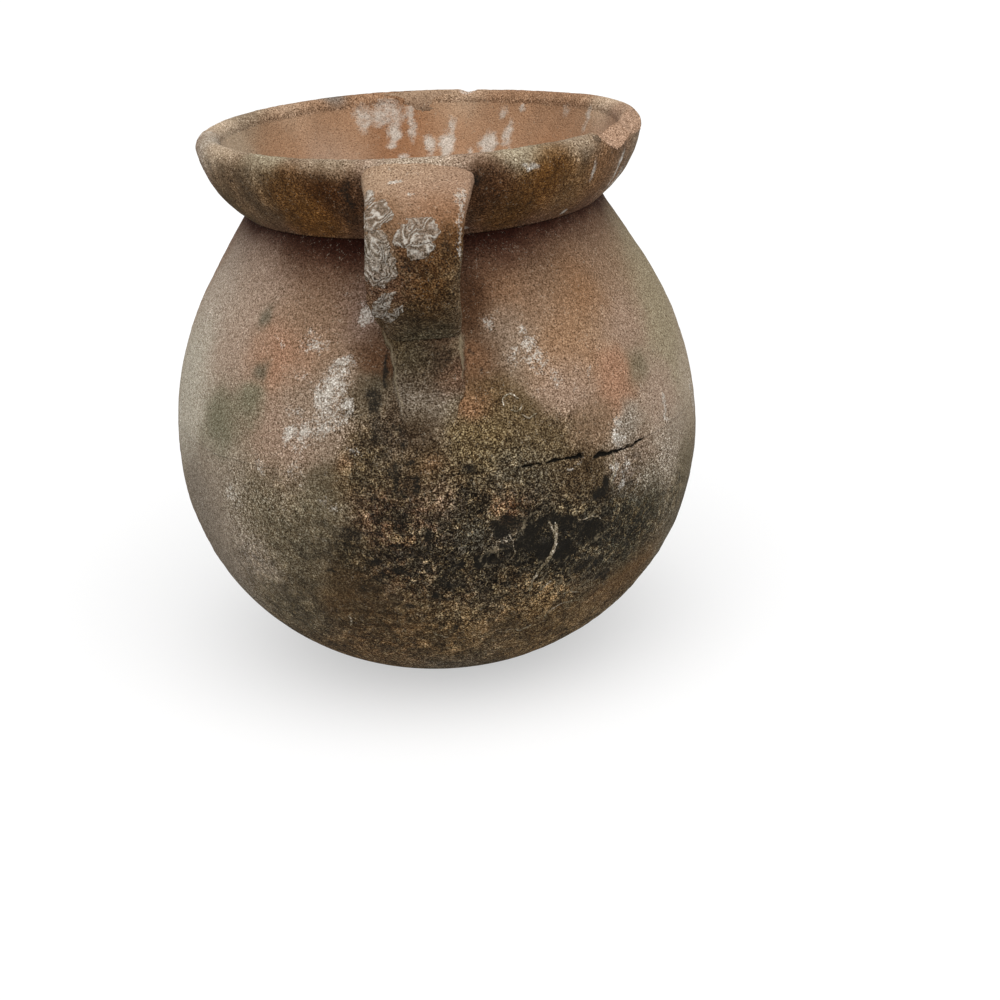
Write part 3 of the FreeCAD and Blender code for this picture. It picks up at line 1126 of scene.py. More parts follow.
# Azimuth, length along the outline, half width, half height and strength
COLLAR_LIME = (
    (-168, down_throat(188), 7.0, 5.0, 0.62),
    (-160, down_throat(187), 3.6, 5.0, 0.62),
    (-170, down_throat(181), 2.6, 3.0, 0.95),
    (-168, down_throat(177), 2.0, 2.0, 0.7),
    (-172, down_throat(172), 2.0, 2.0, 0.8),
    (-176, down_throat(184), 1.8, 7.0, 0.7),
    (178, down_throat(176), 2.4, 4.0, 0.9),
    (172, down_throat(176), 3.2, 5.0, 1.0),
    (170, down_throat(182), 1.4, 5.0, 0.7),
    (157, down_throat(176), 3.8, 4.5, 0.9),
    (150, down_throat(180), 1.8, 5.0, 0.7),
    (163, down_throat(173), 1.5, 2.0, 0.7),
    (148, down_throat(174), 1.4, 2.4, 0.6),
    (153, down_throat(188), 1.8, 2.4, 0.6),
    (146, down_throat(190), 1.2, 1.4, 0.7),
    (116, down_throat(189), 1.6, 3.0, 0.6),
    (117, down_throat(185), 1.2, 2.0, 0.4),
    (128, down_throat(190), 2.0, 2.0, 0.3),
    (56, down_throat(188), 5.0, 5.0, 0.3),
    (-20, down_throat(180), 6.0, 5.0, 0.4),
    (-70, down_throat(178), 4.0, 4.0, 0.4),
    (28, above_crease(189.4), 1.9, 1.1, 1.0),
    (64, above_crease(180), 1.0, 7.0, 0.9),
    (50, above_crease(184), 0.8, 4.0, 0.7),
    (68, above_crease(176), 0.8, 6.0, 0.9),
    (70, above_crease(178), 1.2, 5.0, 0.6),
    (47, above_crease(170), 1.0, 0.8, 0.8),
    (12.5, above_crease(171), 0.6, 0.6, 0.8),
    (-88, CREST - 3, 2.0, 6.0, 0.4),
    (166, CREST, 3.5, 1.6, 0.5),
)

# Soot, and painted shade: the marks at azimuth -17 and 16 are painted shadow of the strap on the collar
# behind it, and those at -16.5 and 14 are painted shade beside the strap's root; the rest is soot.
COLLAR_SOOT_AND_SHADE = (
    (-17, above_crease(177), 4.0, 5.0, 0.42),
    (16, above_crease(176), 3.6, 5.0, 0.36),
    (-16.5, above_crease(185), 1.6, 6.0, 0.7),
    (-52, above_crease(187), 5.0, 2.0, 0.35),
    (-60, above_crease(180), 4.0, 3.0, 0.3),
    (14, above_crease(188), 2.0, 2.6, 0.7),
    (50, CREST - 3.4, 2.6, 2.0, 0.6),
    (30, above_crease(177), 1.8, 1.2, 0.6),
    (24, above_crease(176), 1.2, 1.0, 0.5),
)

# Breaks in the lip: start and end azimuth, depth below the crest and outward tilt
BREAKS = (
    (50.5, 69.0, 3.2, 24.0),
    (58.0, 95.0, 1.3, 26.0),
    (161.0, 171.0, 1.0, 0.0),
)


def break_lip(place, points):
    """Lowers the lip to its broken faces, which are rough, and marks them."""
    broken = np.zeros(len(points))
    grit = 0.7 * rough(place.points, 3.6, 3, 71) + 0.3 * rough(place.points, 1.4, 2, 72)
    for start, end, depth, tilt in BREAKS:
        share = (place.azimuth - (start + end) / 2) / ((end - start) / 2)
        inside = np.clip(1 - share**2, 0, 1)
        fall = math.tan(math.radians(tilt)) * (place.radius - LIP_CENTRE)
        face = RIM_HEIGHT + 1.2 * (1 - inside) - (depth + 1.2) * inside - fall * smooth(inside, 0, 0.4)
        face = face + grit * smooth(inside, 0, 0.3)
        cut = (points[:, 2] > face) & (inside > 0)
        points[cut, 2] = face[cut]
        broken = np.maximum(broken, np.where(cut, 1.0, 0.0))
    return broken


def collar_masks(place):
    """Paints the collar outside, the lip and the throat."""
    ground = tinted(place, COLLAR_TINTS, collar_distance, "dusk", 12, 2.0)
    lime = stamped(place, COLLAR_LIME, collar_distance, 22, 3.0, 1.1)
    soot = stamped(place, COLLAR_SOOT_AND_SHADE, collar_distance, 32, 3.0, 1.2)
    streaks = 0.6 * rough(place.points * (1, 1, 0.4), 5.0, 2, 43)
    streaks += 0.4 * rough(place.points * (1, 1, 0.5), 2.0, 2, 44)
    outside = place.side == "collar"
    ground *= 1 + np.where(outside, 0.2, 0.04)[:, None] * streaks[:, None]
    mottle = np.where(outside, 0.12 * smooth(rough(place.points, 9, 3, 42), 0.0, 0.8), 0)
    throat = place.side == "throat"
    worn = np.where(throat, -0.18, np.where(outside, 0.18, 0.06) + 0.1 * streaks)
    ground[throat] *= 1.1
    joint = place.side == "joint"
    for mask in (lime, soot, mottle):
        mask[joint] = 0
    crack = np.zeros(len(place.points))
    return dict(ground=ground, lime=lime, soot=soot, mottle=mottle, worn=worn, crack=crack)


def collar_relief(place, masks):
    """How far the hand-made collar stands off its true outline."""
    points = place.points
    offset = 0.10 * rough(points, 30, 2, 1) - 0.12
    offset += 0.10 * rough(points * (1, 1, 3), 9, 3, 2)
    offset += 0.06 * rough(points, 2.4, 2, 3)
    offset += 0.14 * masks["lime"] * (0.4 + ridged(points, 2.0, 2, 6))
    lip = place.side == "lip"
    offset = np.where(lip, offset - 0.12 * smooth(rough(points, 2.0, 2, 14), 0.1, 0.7), offset)
    edge = np.minimum(place.run, 2.0) / 2.0
    fixed = place.side == "joint"
    return np.where(fixed, 0, np.minimum(offset, 0) * np.where(place.side == "collar", edge, 1))


# ---------------------------------------------------------------------------
# Making the meshes
# ---------------------------------------------------------------------------
def linear(colour):
    """Screen colours from 0 to 255 as linear light."""
    share = np.clip(np.asarray(colour, float) / 255, 0, 1)
    return np.where(share <= 0.04045, share / 12.92, ((share + 0.055) / 1.055) ** 2.4)


def make_piece(name, points, faces, masks, material, slot, *nodes, flat=None):
    """A mesh with its painted masks, riding on the pot. flat marks faces left unsmoothed."""
    mesh = bpy.data.meshes.new(name)
    mesh.from_pydata((points * MM).tolist(), [], faces)
    rounded = [not f for f in flat] if flat else [True] * len(faces)
    mesh.polygons.foreach_set("use_smooth", rounded)
    for mask, values in masks.items():
        if mask == "ground":
            layer = mesh.attributes.new("ground", "FLOAT_COLOR", "POINT")
            rgba = np.column_stack([linear(values), np.ones(len(points))])
            layer.data.foreach_set("color", rgba.astype(np.float32).ravel())
        else:
            layer = mesh.attributes.new(mask, "FLOAT", "POINT")
            layer.data.foreach_set("value", np.asarray(values, np.float32))
    mesh.materials.append(material)
    mesh.update()
    piece = bpy.data.objects.new(name, mesh)
    bpy.context.scene.collection.objects.link(piece)
    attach(piece, "root")
    if nodes:
        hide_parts(*nodes)


SAG = 0.9  # how far the far lip dips
SAG_AZIMUTH = 150
SAG_WIDTH = 34


def wear_collar(place, points, masks):
    """Lets the far lip sag a little, breaks the lip and bares fresh clay there."""
    far = np.exp(-((((place.azimuth % 360) - SAG_AZIMUTH) / SAG_WIDTH) ** 2))
    points[:, 2] -= SAG * far * smooth(points[:, 2], BODY_HEIGHT, RIM_HEIGHT)
    broken = break_lip(place, points)
    fresh = np.array(COLOURS["tan pink"], float)
    masks["ground"] += broken[:, None] * 0.8 * (fresh - masks["ground"])


def turned_piece(name, rings, closed, paint, relief, material, slot, node):
    """A section of the turned pot, painted and given its hand-made surface."""
    place, faces, flat = skin(rings, closed)
    masks = paint(place)
    points = place.points + place.normal * relief(place, masks)[:, None]
    if node == "flared_rim":
        wear_collar(place, points, masks)
    make_piece(name, points, faces, masks, material, slot, node, flat=flat)


# --- Strap handles -----------------------------------------------------------
# Distance from the pot's axis and height of the middle of the strap
STRAP_PATH = (
    (68.2, 190.6),
    (80.6, 187.2),
    (91.2, 180.4),
    (94.5, 168.0),
    (92.4, 157.0),
    (88.2, 149.5),
    (82.5, 142.0),
)
# Half widths to the left and right, and thickness against the full one, at even
# shares of the path
STRAP_LEFT = (17.4, 16.8, 15.8, 15.9, 16.1, 16.9, 17.0, 14.8, 11.5)
STRAP_RIGHT = (16.6, 18.4, 17.0, 15.2, 13.8, 12.5, 12.0, 12.4, 11.5)
STRAP_TAPER = (1.0, 1.0, 1.0, 1.0, 1.0, 1.0, 0.95, 0.8, 0.6)
STRAP_RIM = 200  # points round a section
STRAP_ROWS = 170
EDGE_POWER = 2.0 / 3.2  # how square a section is; 1 is an ellipse

# Distance across, length along the path, reach and colour
STRAP_TINTS = (
    (0, 8, 12, "tan"),
    (-10, 12, 8, "tan"),
    (12, 14, 8, "tan pink"),
    (0, 20, 9, "tan pink"),
    (6, 26, 6, "rust"),
    (-10, 26, 6, "orange brown"),
    (-2, 38, 7, "rust brown"),
    (4, 44, 7, "dark gold"),
    (9, 34, 5, "dark gold"),
    (-1, 33, 5, "orange brown"),
    (2, 50, 6, "dark gold"),
    (12, 42, 4, "dull tan"),
    (-13, 34, 5, "ash"),
    (-8, 44, 6, "dusk"),
    (0, 57, 6, "bark"),
    (11, 52, 5, "dull tan"),
    (-10, 56, 6, "umber light"),
    (0, 64, 8, "dark olive"),
)

# Across, distance along the path, half width, half height, lean and number of folds
STRAP_CRUSTS = (
    (-14.6, 19.6, 2.4, 2.6, 20, 1.2),
    (-11.8, 25.6, 4.8, 3.2, -12, 2.0),
    (-3.4, 31.4, 3.0, 3.6, 30, 1.8),
    (1.4, 29.6, 5.4, 3.0, 14, 2.2),
    (0.6, 33.6, 4.2, 3.0, -20, 2.0),
    (-12.8, 34.0, 4.4, 4.6, 10, 2.2),
    (-12.0, 39.5, 5.2, 4.2, 0, 2.8),
    (-11.6, 49.5, 5.0, 1.8, -48, 1.6),
    (-8.6, 53.2, 4.2, 1.4, -40, 1.2),
    (-13.2, 53.6, 3.0, 1.2, -44, 1.2),
)

# The back strap has its own, fewer crusts
BACK_CRUSTS = (
    (7.0, 25.0, 4.8, 3.4, 16, 2.0),
    (10.4, 32.0, 3.6, 4.8, -24, 1.8),
    (-4.0, 44.0, 5.2, 3.2, 30, 2.2),
    (-9.5, 18.5, 3.0, 2.2, 0, 1.2),
)

STRAP_LIME = (
    (-6.0, 14.0, 2.6, 1.2, 0.9),
    (-1.0, 20.0, 2.0, 1.0, 0.7),
    (14.5, 22.0, 2.4, 5.0, 0.8),
    (2.0, 16.0, 1.6, 0.9, 0.6),
    (13.0, 34.0, 1.4, 9.0, 0.8),
    (-3.0, 9.0, 8.0, 3.0, 0.4),
    (-12.0, 56.0, 3.0, 2.0, 0.6),
)

STRAP_SOOT = (
    (9.0, 33.0, 1.6, 5.0, 0.5),
    (4.0, 41.0, 3.0, 2.0, 0.3),
    (10.0, 46.0, 3.0, 5.0, 0.3),
    (-4.0, 40.0, 1.6, 2.6, 0.5),
    (0.0, 58.0, 7.0, 4.0, 0.35),
)


def through(knots, count):
    """Points evenly spaced on a smooth line through the knots, and their lengths along it."""
    knots = np.array(knots, float)
    if knots.ndim == 1:
        knots = knots[:, None]
    padded = np.vstack([2 * knots[0] - knots[1], knots, 2 * knots[-1] - knots[-2]])
    pieces = []
    share = np.linspace(0, 1, 60, endpoint=False)[:, None]
    for index in range(len(knots) - 1):
        a, b, c, d = padded[index : index + 4]
        pieces.append(
            0.5
            * (
                2 * b
                + (c - a) * share
                + (2 * a - 5 * b + 4 * c - d) * share**2
                + (3 * b - a - 3 * c + d) * share**3
            )
        )
    line = np.vstack(pieces + [knots[-1:]])
    steps = np.linalg.norm(np.diff(line, axis=0), axis=1)
    run = np.concatenate([[0], np.cumsum(steps)])
    even = np.linspace(0, run[-1], count)
    return np.stack([np.interp(even, run, line[:, axis]) for axis in range(line.shape[1])], 1), even


def strap_distance(place, across, along):
    """Distances across and along a strap, or a pad, from a place on it."""
    return place.across - across, place.along - along


def strap_place():
    """Points of a strap on the -Y side, ring by ring from its root down."""
    path, along = through(STRAP_PATH, STRAP_ROWS)
    share = along / along[-1]
    left = np.interp(share, np.linspace(0, 1, len(STRAP_LEFT)), STRAP_LEFT)
    right = np.interp(share, np.linspace(0, 1, len(STRAP_RIGHT)), STRAP_RIGHT)
    taper = np.interp(share, np.linspace(0, 1, len(STRAP_TAPER)), STRAP_TAPER)[:, None]
    tangent = np.gradient(path, axis=0)
    tangent /= np.linalg.norm(tangent, axis=1)[:, None]
    out = np.stack([-tangent[:, 1], tangent[:, 0]], 1)
    angle = np.linspace(0, 2 * math.pi, STRAP_RIM, endpoint=False)
    cosine, sine = np.cos(angle), np.sin(angle)
    across = np.sign(cosine) * np.abs(cosine) ** EDGE_POWER
    thick = np.sign(sine) * np.abs(sine) ** EDGE_POWER * STRAP_THICKNESS / 2
    thick = thick[None, :] * taper
    width = np.where(across[None, :] < 0, left[:, None], right[:, None])
    x = across[None, :] * width
    d = path[:, 0, None] + out[:, 0, None] * thick
    z = path[:, 1, None] + out[:, 1, None] * thick
    points = np.stack([x, -d, z], 2).reshape(-1, 3)
    facing = np.stack(
        [
            np.broadcast_to(cosine[None, :] * STRAP_THICKNESS, x.shape),
            -out[:, 0, None] * sine[None, :] * 2 * width,
            out[:, 1, None] * sine[None, :] * 2 * width,
        ],
        2,
    ).reshape(-1, 3)
    facing /= np.linalg.norm(facing, axis=1)[:, None]
    return SimpleNamespace(
        points=points,
        normal=facing,
        across=x.ravel(),
        along=np.repeat(along, STRAP_RIM),
        outer=np.tile(smooth(sine, -0.1, 0.5), STRAP_ROWS),
    )


def tube_faces(row_count, rim_count):
    """Quads of a tube, and a fan at each end that needs two more points."""
    row = np.arange(row_count - 1)[:, None] * rim_count
    here = np.arange(rim_count)[None, :]
    beside = (here + 1) % rim_count
    quads = np.stack(
        [row + here, row + rim_count + here, row + rim_count + beside, row + beside], 2
    ).reshape(-1, 4)
    first, last = row_count * rim_count, row_count * rim_count + 1
    end = (row_count - 1) * rim_count
    rim = np.arange(rim_count)
    beside = (rim + 1) % rim_count
    start_fan = np.stack([np.full(rim_count, first), rim, beside], 1)
    end_fan = np.stack([np.full(rim_count, last), end + beside, end + rim], 1)
    return quads.tolist() + start_fan.tolist() + end_fan.tolist()


def to_back(points):
    """Half a turn about the pot's axis."""
    return points * (-1, -1, 1)


BACK_SEED = 40  # added to a front seed, so that the back's wear is its own


def strap_masks(place, back):
    """Paints a strap: pale at the root, stained and gritty below, with crusts."""
    seed = BACK_SEED if back else 0
    crusts = BACK_CRUSTS if back else STRAP_CRUSTS
    crust, fold, crest = crusted(place, crusts, strap_distance, 53 + seed)
    masks = {
        "ground": tinted(place, STRAP_TINTS, strap_distance, "dusk", 13 + seed, 1.5),
        "lime": stamped(place, STRAP_LIME, strap_distance, 23 + seed, 2.4, 0.9) * place.outer,
        "crust": crust * place.outer,
        "fold": fold,
        "soot": stamped(place, STRAP_SOOT, strap_distance, 33 + seed, 3.0, 1.2) * place.outer,
        "mottle": 0.34 * smooth(place.along, 27, 40),
        "worn": 0.36 * smooth(place.along, 26, 40) - 0.07,
    }
    return masks, crest


def strap_relief(place, crust, crest, seed):
    """How far a strap's hand-made surface stands off its true form."""
    offset = 0.22 * rough(place.points, 12, 2, 82 + seed) - 0.25
    offset += 0.12 * rough(place.points, 2.2, 3, 83 + seed)
    offset += crust * (0.4 + 0.16 * crest)
    cracks = smooth(ridged(place.points, 4.5, 2, 84 + seed), 0.62, 0.8)
    return offset - 0.3 * cracks * smooth(place.along, 30, 36)


def press_root(place, points, seed):
    """Smears the left of the root up to the lip and lets its right corner drop."""
    root = smooth(12 - place.along, 0, 10) * smooth(11 - place.across, 0, 9)
    flush = RIM_HEIGHT - 0.7 + 0.3 * rough(place.points, 6.0, 2, 85 + seed)
    lifted = np.minimum(points[:, 2] + 1.5, flush)
    points[:, 2] += root * place.outer * np.maximum(lifted - points[:, 2], 0)
    corner = smooth(place.across, 10.5, 16.5) * smooth(9 - place.along, 0, 9)
    points[:, 2] = np.minimum(points[:, 2], RIM_HEIGHT - 0.5) - 3.4 * corner


def strap(side, material):
    """One strap handle, its outer face kept just inside the frame's box."""
    place = strap_place()
    back = side == "back"
    seed = BACK_SEED if back else 0
    if back:
        place.across = -place.across * 0.94
    masks, crest = strap_masks(place, back)
    points = place.points + place.normal * strap_relief(place, masks["crust"], crest, seed)[:, None]
    points[:, 1] = np.maximum(points[:, 1], -STRAP_OUT + 0.05)
    press_root(place, points, seed)
    ends = np.array([points[:STRAP_RIM].mean(0), points[-STRAP_RIM:].mean(0)])
    points = np.vstack([points, ends])
    masks = {name: np.concatenate([m, m[:1], m[-1:]]) for name, m in masks.items()}
    if back:
        points = to_back(points)
    faces = tube_faces(STRAP_ROWS, STRAP_RIM)
    node = side + "_handle"
    make_piece(side + "_strap", points, faces, masks, material, "handle_clay", node)


# --- Pads ----------------------------------------------------------------------
PAD_TOP = 150.0
PAD_STEP = 0.4  # between rows
PAD_BURIED = 2.6  # how deep its back lies in the wall
PAD_COLUMNS = 110
PAD_SPREAD = 1.22  # half widths from the middle to the sheet's edge
# Height, middle, half width, thickness, left and right rim of the pad, and
# how softly its edge falls away
PAD_SHAPE = (
    (150, -1.4, 12.4, 2.6, 0.0, 0.0, 0.5),
    (147.5, -1.3, 12.5, 5.6, 0.0, 0.0, 0.5),
    (144.5, -1.2, 12.4, 6.6, 0.4, 0.5, 0.42),
    (141, -1.0, 12.1, 5.6, 0.8, 0.8, 0.34),
    (137, -0.4, 11.6, 4.3, 1.0, 1.0, 0.28),
    (132, 0.2, 11.2, 3.0, 1.0, 1.0, 0.28),
    (127, 0.6, 10.9, 2.2, 0.9, 0.6, 0.36),
    (122, 0.3, 10.2, 1.4, 0.7, 0.1, 0.55),
    (118, -0.2, 9.0, 0.8, 0.6, 0.0, 0.7),
    (113, -1.0, 6.6, 0.4, 0.5, 0.0, 0.8),
    (109, -1.8, 4.2, 0.0, 0.4, 0.0, 0.8),
    (105, -2.4, 2.6, -0.5, 0.0, 0.0, 0.8),
)

# Distance across, height, reach and colour
PAD_TINTS = (
    (-2, 144, 7, "umber light"),
    (7, 142, 6, "dusk"),
    (-9, 138, 4, "brown"),
    (-4, 135, 6, "dark olive"),
    (4, 133, 5, "dark brown"),
    (10, 137, 3, "khaki"),
    (-11, 134, 2, "beige"),
    (-2, 128, 6, "umber"),
    (7, 127, 5, "dusk"),
    (-5, 122, 6, "ash"),
    (3, 120, 6, "ash"),
    (8, 118, 4, "dull khaki"),
    (-3, 112, 6, "brown"),
)

PAD_SOOT = (
    (4, 133, 5, 5, 0.3),
    (-3, 138, 6, 3, 0.25),
    (3, 124, 2.4, 1.2, 0.4),
)


def pad_sheet(heights, x):
    """Points over the wall at those heights and distances across, and their facing."""
    run = BODY.distance(heights)
    radius = BODY.at(run)[0]
    outward, upward = BODY.facing(run)
    turn = np.arcsin(x / radius[:, None])
    tall = np.broadcast_to(heights[:, None], x.shape)
    base = np.stack([x, -np.cos(turn) * radius[:, None], tall], 2).reshape(-1, 3)
    across, ahead = np.sin(turn) * outward[:, None], -np.cos(turn) * outward[:, None]
    facing = np.stack([across, ahead, np.broadcast_to(upward[:, None], x.shape)], 2).reshape(-1, 3)
    return base, facing, turn.ravel(), np.repeat(run, PAD_COLUMNS)


def pad_masks(place, base, edge, crest, rim, back):
    """Paints a pad in its own colours, fading into the wall's at its foot and edge."""
    seed = BACK_SEED if back else 0
    around = SimpleNamespace(**vars(place))
    if back:
        around.azimuth = place.azimuth + 180
        around.points = to_back(base)
    wall = body_masks(around)
    own = {
        "ground": tinted(place, PAD_TINTS, strap_distance, "umber", 14 + seed, 1.2),
        "lime": 0.25 * smooth(rough(base, 5, 3, 24 + seed), 0.2, 0.9),
        "soot": stamped(place, PAD_SOOT, strap_distance, 34 + seed, 4.0, 1.4),
        "mottle": np.full(len(base), 0.15),
        "worn": np.full(len(base), 0.2),
        # Painted highlight in part: a pale line along the crest of the pad's raised rim.
        "rim": 1.2 * crest * np.minimum(rim, 1),
        "crack": np.zeros(len(base)),
    }
    blend = np.maximum(smooth(123 - place.height, 0, 14), smooth(edge, 0.97, 1.08))
    masks = {}
    for name, values in own.items():
        share_of_wall = blend[:, None] if name == "ground" else blend
        mixed = values + share_of_wall * (wall.get(name, 0) - values)
        masks[name] = np.concatenate([mixed, mixed])
    return masks


def pad(side, material):
    """A smeared pad: a sheet raised off the shoulder, closed inside the wall."""
    back = side == "back"
    seed = BACK_SEED if back else 0
    shape = np.array(PAD_SHAPE)[::-1]
    heights = np.arange(PAD_LOW - 2.0, PAD_TOP, PAD_STEP)
    middle, half, thick, left_rim, right_rim, fall = [
        np.interp(heights, shape[:, 0], shape[:, column])[:, None] for column in range(1, 7)
    ]
    share = np.linspace(-PAD_SPREAD, PAD_SPREAD, PAD_COLUMNS)[None, :]
    x = middle + half * share
    if back:
        x = x[:, ::-1] * -1
    base, facing, turn, run = pad_sheet(heights, x)
    tall = np.repeat(heights, PAD_COLUMNS)
    mirrored = -1 if back else 1
    place = SimpleNamespace(
        points=base,
        across=x.ravel() * mirrored,
        along=tall,
        azimuth=np.degrees(turn),
        run=run,
        height=tall,
        side=np.full(len(base), "outer"),
    )
    waver = 0.08 * rough(base, 6, 3, 91 + seed).reshape(x.shape)
    edge = np.abs(share[:, ::-1] if back else share) + waver
    rim = np.where(x * mirrored < middle, left_rim, right_rim)
    body = smooth(1.06 - edge, 0, fall)
    lift = thick * body * (1 - 0.3 * smooth(0.9 - edge, 0, 0.5))
    crest = np.exp(-(((edge - 0.93) / 0.05) ** 2))
    lift = lift + 0.7 * rim * crest - 1.3 * smooth(edge, 1.0, 1.16)
    lift = lift.ravel() + 0.13 * rough(base, 2.4, 3, 92 + seed)
    points = np.vstack([base + facing * lift[:, None], base - facing * PAD_BURIED])
    masks = pad_masks(place, base, edge.ravel(), crest.ravel(), rim.ravel(), back)
    if back:
        points = to_back(points)
    faces = sheet_faces(len(heights), PAD_COLUMNS)
    node = side + "_handle_pad"
    make_piece(side + "_pad", points, faces, masks, material, "pad_clay", node)


def sheet_faces(row_count, column_count):
    """Quads of a sheet, its back and the strip that joins their edges."""

    def index(r, c, layer):
        return layer * row_count * column_count + r * column_count + c

    r, c = np.meshgrid(np.arange(row_count - 1), np.arange(column_count - 1), indexing="ij")
    r, c = r.ravel(), c.ravel()
    front = np.stack([index(r, c, 0), index(r, c + 1, 0), index(r + 1, c + 1, 0), index(r + 1, c, 0)], 1)
    behind = np.stack([index(r, c, 1), index(r + 1, c, 1), index(r + 1, c + 1, 1), index(r, c + 1, 1)], 1)
    loop = [(0, k) for k in range(column_count)]
    loop += [(k, column_count - 1) for k in range(1, row_count)]
    loop += [(row_count - 1, k) for k in range(column_count - 2, -1, -1)]
    loop += [(k, 0) for k in range(row_count - 2, 0, -1)]
    strip = []
    for here, there in zip(loop, loop[1:] + loop[:1]):
        strip.append([index(*here, 0), index(*here, 1), index(*there, 1), index(*there, 0)])
    return front.tolist() + behind.tolist() + strip


# ---------------------------------------------------------------------------
# Materials
# ---------------------------------------------------------------------------
class Board:
    """Adds nodes to one tree and wires them together."""

    def __init__(self, tree):
        self.tree = tree

    def add(self, kind, **settings):
        """A new node with those settings."""
        made = self.tree.nodes.new(kind)
        for name, value in settings.items():
            setattr(made, name, value)
        return made

    def feed(self, socket, value):
        """Links a socket to that input, or sets the input to a plain value."""
        if isinstance(value, bpy.types.NodeSocket):
            self.tree.links.new(value, socket)
        else:
            socket.default_value = value

    def math(self, operation, first, second=0.0, third=0.0):
        made = self.add("ShaderNodeMath", operation=operation)
        for socket, value in zip(made.inputs, (first, second, third)):
            self.feed(socket, value)
        return made.outputs[0]

    def mix(self, amount, first, second, blend="MIX"):
        """Two colours blended; 6 and 7 are the node's colour inputs, 2 its colour output."""
        made = self.add("ShaderNodeMix", data_type="RGBA", blend_type=blend)
        self.feed(made.inputs[0], amount)
        self.feed(made.inputs[6], first)
        self.feed(made.inputs[7], second)
        return made.outputs[2]

    def vector(self, operation, first, second=(0.0, 0.0, 0.0)):
        made = self.add("ShaderNodeVectorMath", operation=operation)
        self.feed(made.inputs[0], first)
        self.feed(made.inputs["Scale"] if operation == "SCALE" else made.inputs[1], second)
        return made.outputs[0]

    def ease(self, value, low, high, start=0.0, end=1.0):
        """A smooth step from start at low to end at high."""
        made = self.add("ShaderNodeMapRange", interpolation_type="SMOOTHSTEP")
        for socket, number in zip(made.inputs, (value, low, high, start, end)):
            self.feed(socket, number)
        return made.outputs[0]

    def noise(self, spot, scale, detail=2.0, roughness=0.5, distortion=0.0):
        made = self.add("ShaderNodeTexNoise")
        for name, value in (
            ("Vector", spot),
            ("Scale", scale),
            ("Detail", detail),
            ("Roughness", roughness),
            ("Distortion", distortion),
        ):
            self.feed(made.inputs[name], value)
        return made.outputs["Fac"]

    def place(self):
        """The point being shaded, in metres from the pot's own origin."""
        return self.add("ShaderNodeTexCoord").outputs["Object"]

    def group(self, tree, **inputs):
        """A group node, fed by input name with _ for a space."""
        made = self.add("ShaderNodeGroup", node_tree=tree)
        for name, value in inputs.items():
            self.feed(made.inputs[name.replace("_", " ")], value)
        return made


def colour(name):
    """A named colour as a shader takes it."""
    return (*linear(COLOURS[name]).tolist(), 1.0)


def new_group(name, inputs, outputs):
    """An empty shader group with those sockets, and its board."""
    tree = bpy.data.node_groups.new(name, "ShaderNodeTree")
    for label, kind, value in inputs:
        socket = tree.interface.new_socket(name=label, in_out="INPUT", socket_type=kind)
        socket.default_value = value
    for label, kind in outputs:
        tree.interface.new_socket(name=label, in_out="OUTPUT", socket_type=kind)
    board = Board(tree)
    given = board.add("NodeGroupInput")
    result = board.add("NodeGroupOutput")
    return tree, board, given.outputs, result.inputs


FLOAT, COLOUR = "NodeSocketFloat", "NodeSocketColor"

# Noise scales, per metre
FINE_GRAIN = 2100.0
GRIT_GRAIN = 1050.0
LUMP_GRAIN = 480.0
SALT_GRAIN = 1750.0
BRIGHTEST = 4.5  # of a grain, against the clay round it


def grain_group():
    """Grit of fired clay at three sizes, stronger where the clay is worn."""
    tree, board, given, result = new_group(
        "clay_grain",
        (
            ("Worn", FLOAT, 0.0),
            ("Level", FLOAT, 1.0),
            ("Salt", FLOAT, 1.0),
            ("Pepper", FLOAT, 1.0),
        ),
        (("Tone", FLOAT), ("Salt", FLOAT), ("Height", FLOAT)),
    )
    spot = board.place()
    worn = given["Worn"]
    fine = board.math("SUBTRACT", board.noise(spot, FINE_GRAIN, 0.0), 0.5)
    grit = board.math("SUBTRACT", board.noise(spot, GRIT_GRAIN, 0.0), 0.5)
    lumps = board.math("SUBTRACT", board.noise(spot, LUMP_GRAIN, 1.0, 0.6), 0.5)
    swing = board.math("MULTIPLY", fine, board.math("MULTIPLY_ADD", worn, 8.5, 2.4))
    swing = board.math("MULTIPLY_ADD", grit, board.math("MULTIPLY_ADD", worn, 3.0, 0.75), swing)
    swing = board.math("MULTIPLY_ADD", lumps, board.math("MULTIPLY_ADD", worn, 2.2, 0.45), swing)
    swing = board.math("MULTIPLY_ADD", board.math("MAXIMUM", swing, 0.0), -0.2, swing)
    tone = board.math("MULTIPLY", board.math("EXPONENT", swing), given["Level"])
    pepper = board.math("MULTIPLY", board.ease(fine, -0.2, -0.29), given["Pepper"])
    darkened = board.math("MULTIPLY", tone, board.math("MULTIPLY_ADD", pepper, -0.6, 1.0))
    board.feed(result["Tone"], board.math("MINIMUM", darkened, BRIGHTEST))
    salt_noise = board.noise(spot, SALT_GRAIN, 2.0, 0.7)
    grit_field = board.math("MULTIPLY_ADD", lumps, 0.4, salt_noise)
    salt = board.math("MULTIPLY", board.ease(grit_field, 0.63, 0.72), given["Salt"])
    board.feed(result["Salt"], salt)
    height = board.math("MULTIPLY_ADD", fine, 0.5, board.math("MULTIPLY_ADD", grit, 0.5, 0.5))
    height = board.math("MULTIPLY_ADD", salt, 0.2, height)
    board.feed(result["Height"], board.math("MULTIPLY_ADD", pepper, -0.25, height))
    return tree


STAIN_LEVEL = 0.74  # of noise and mask together, where a stain half covers


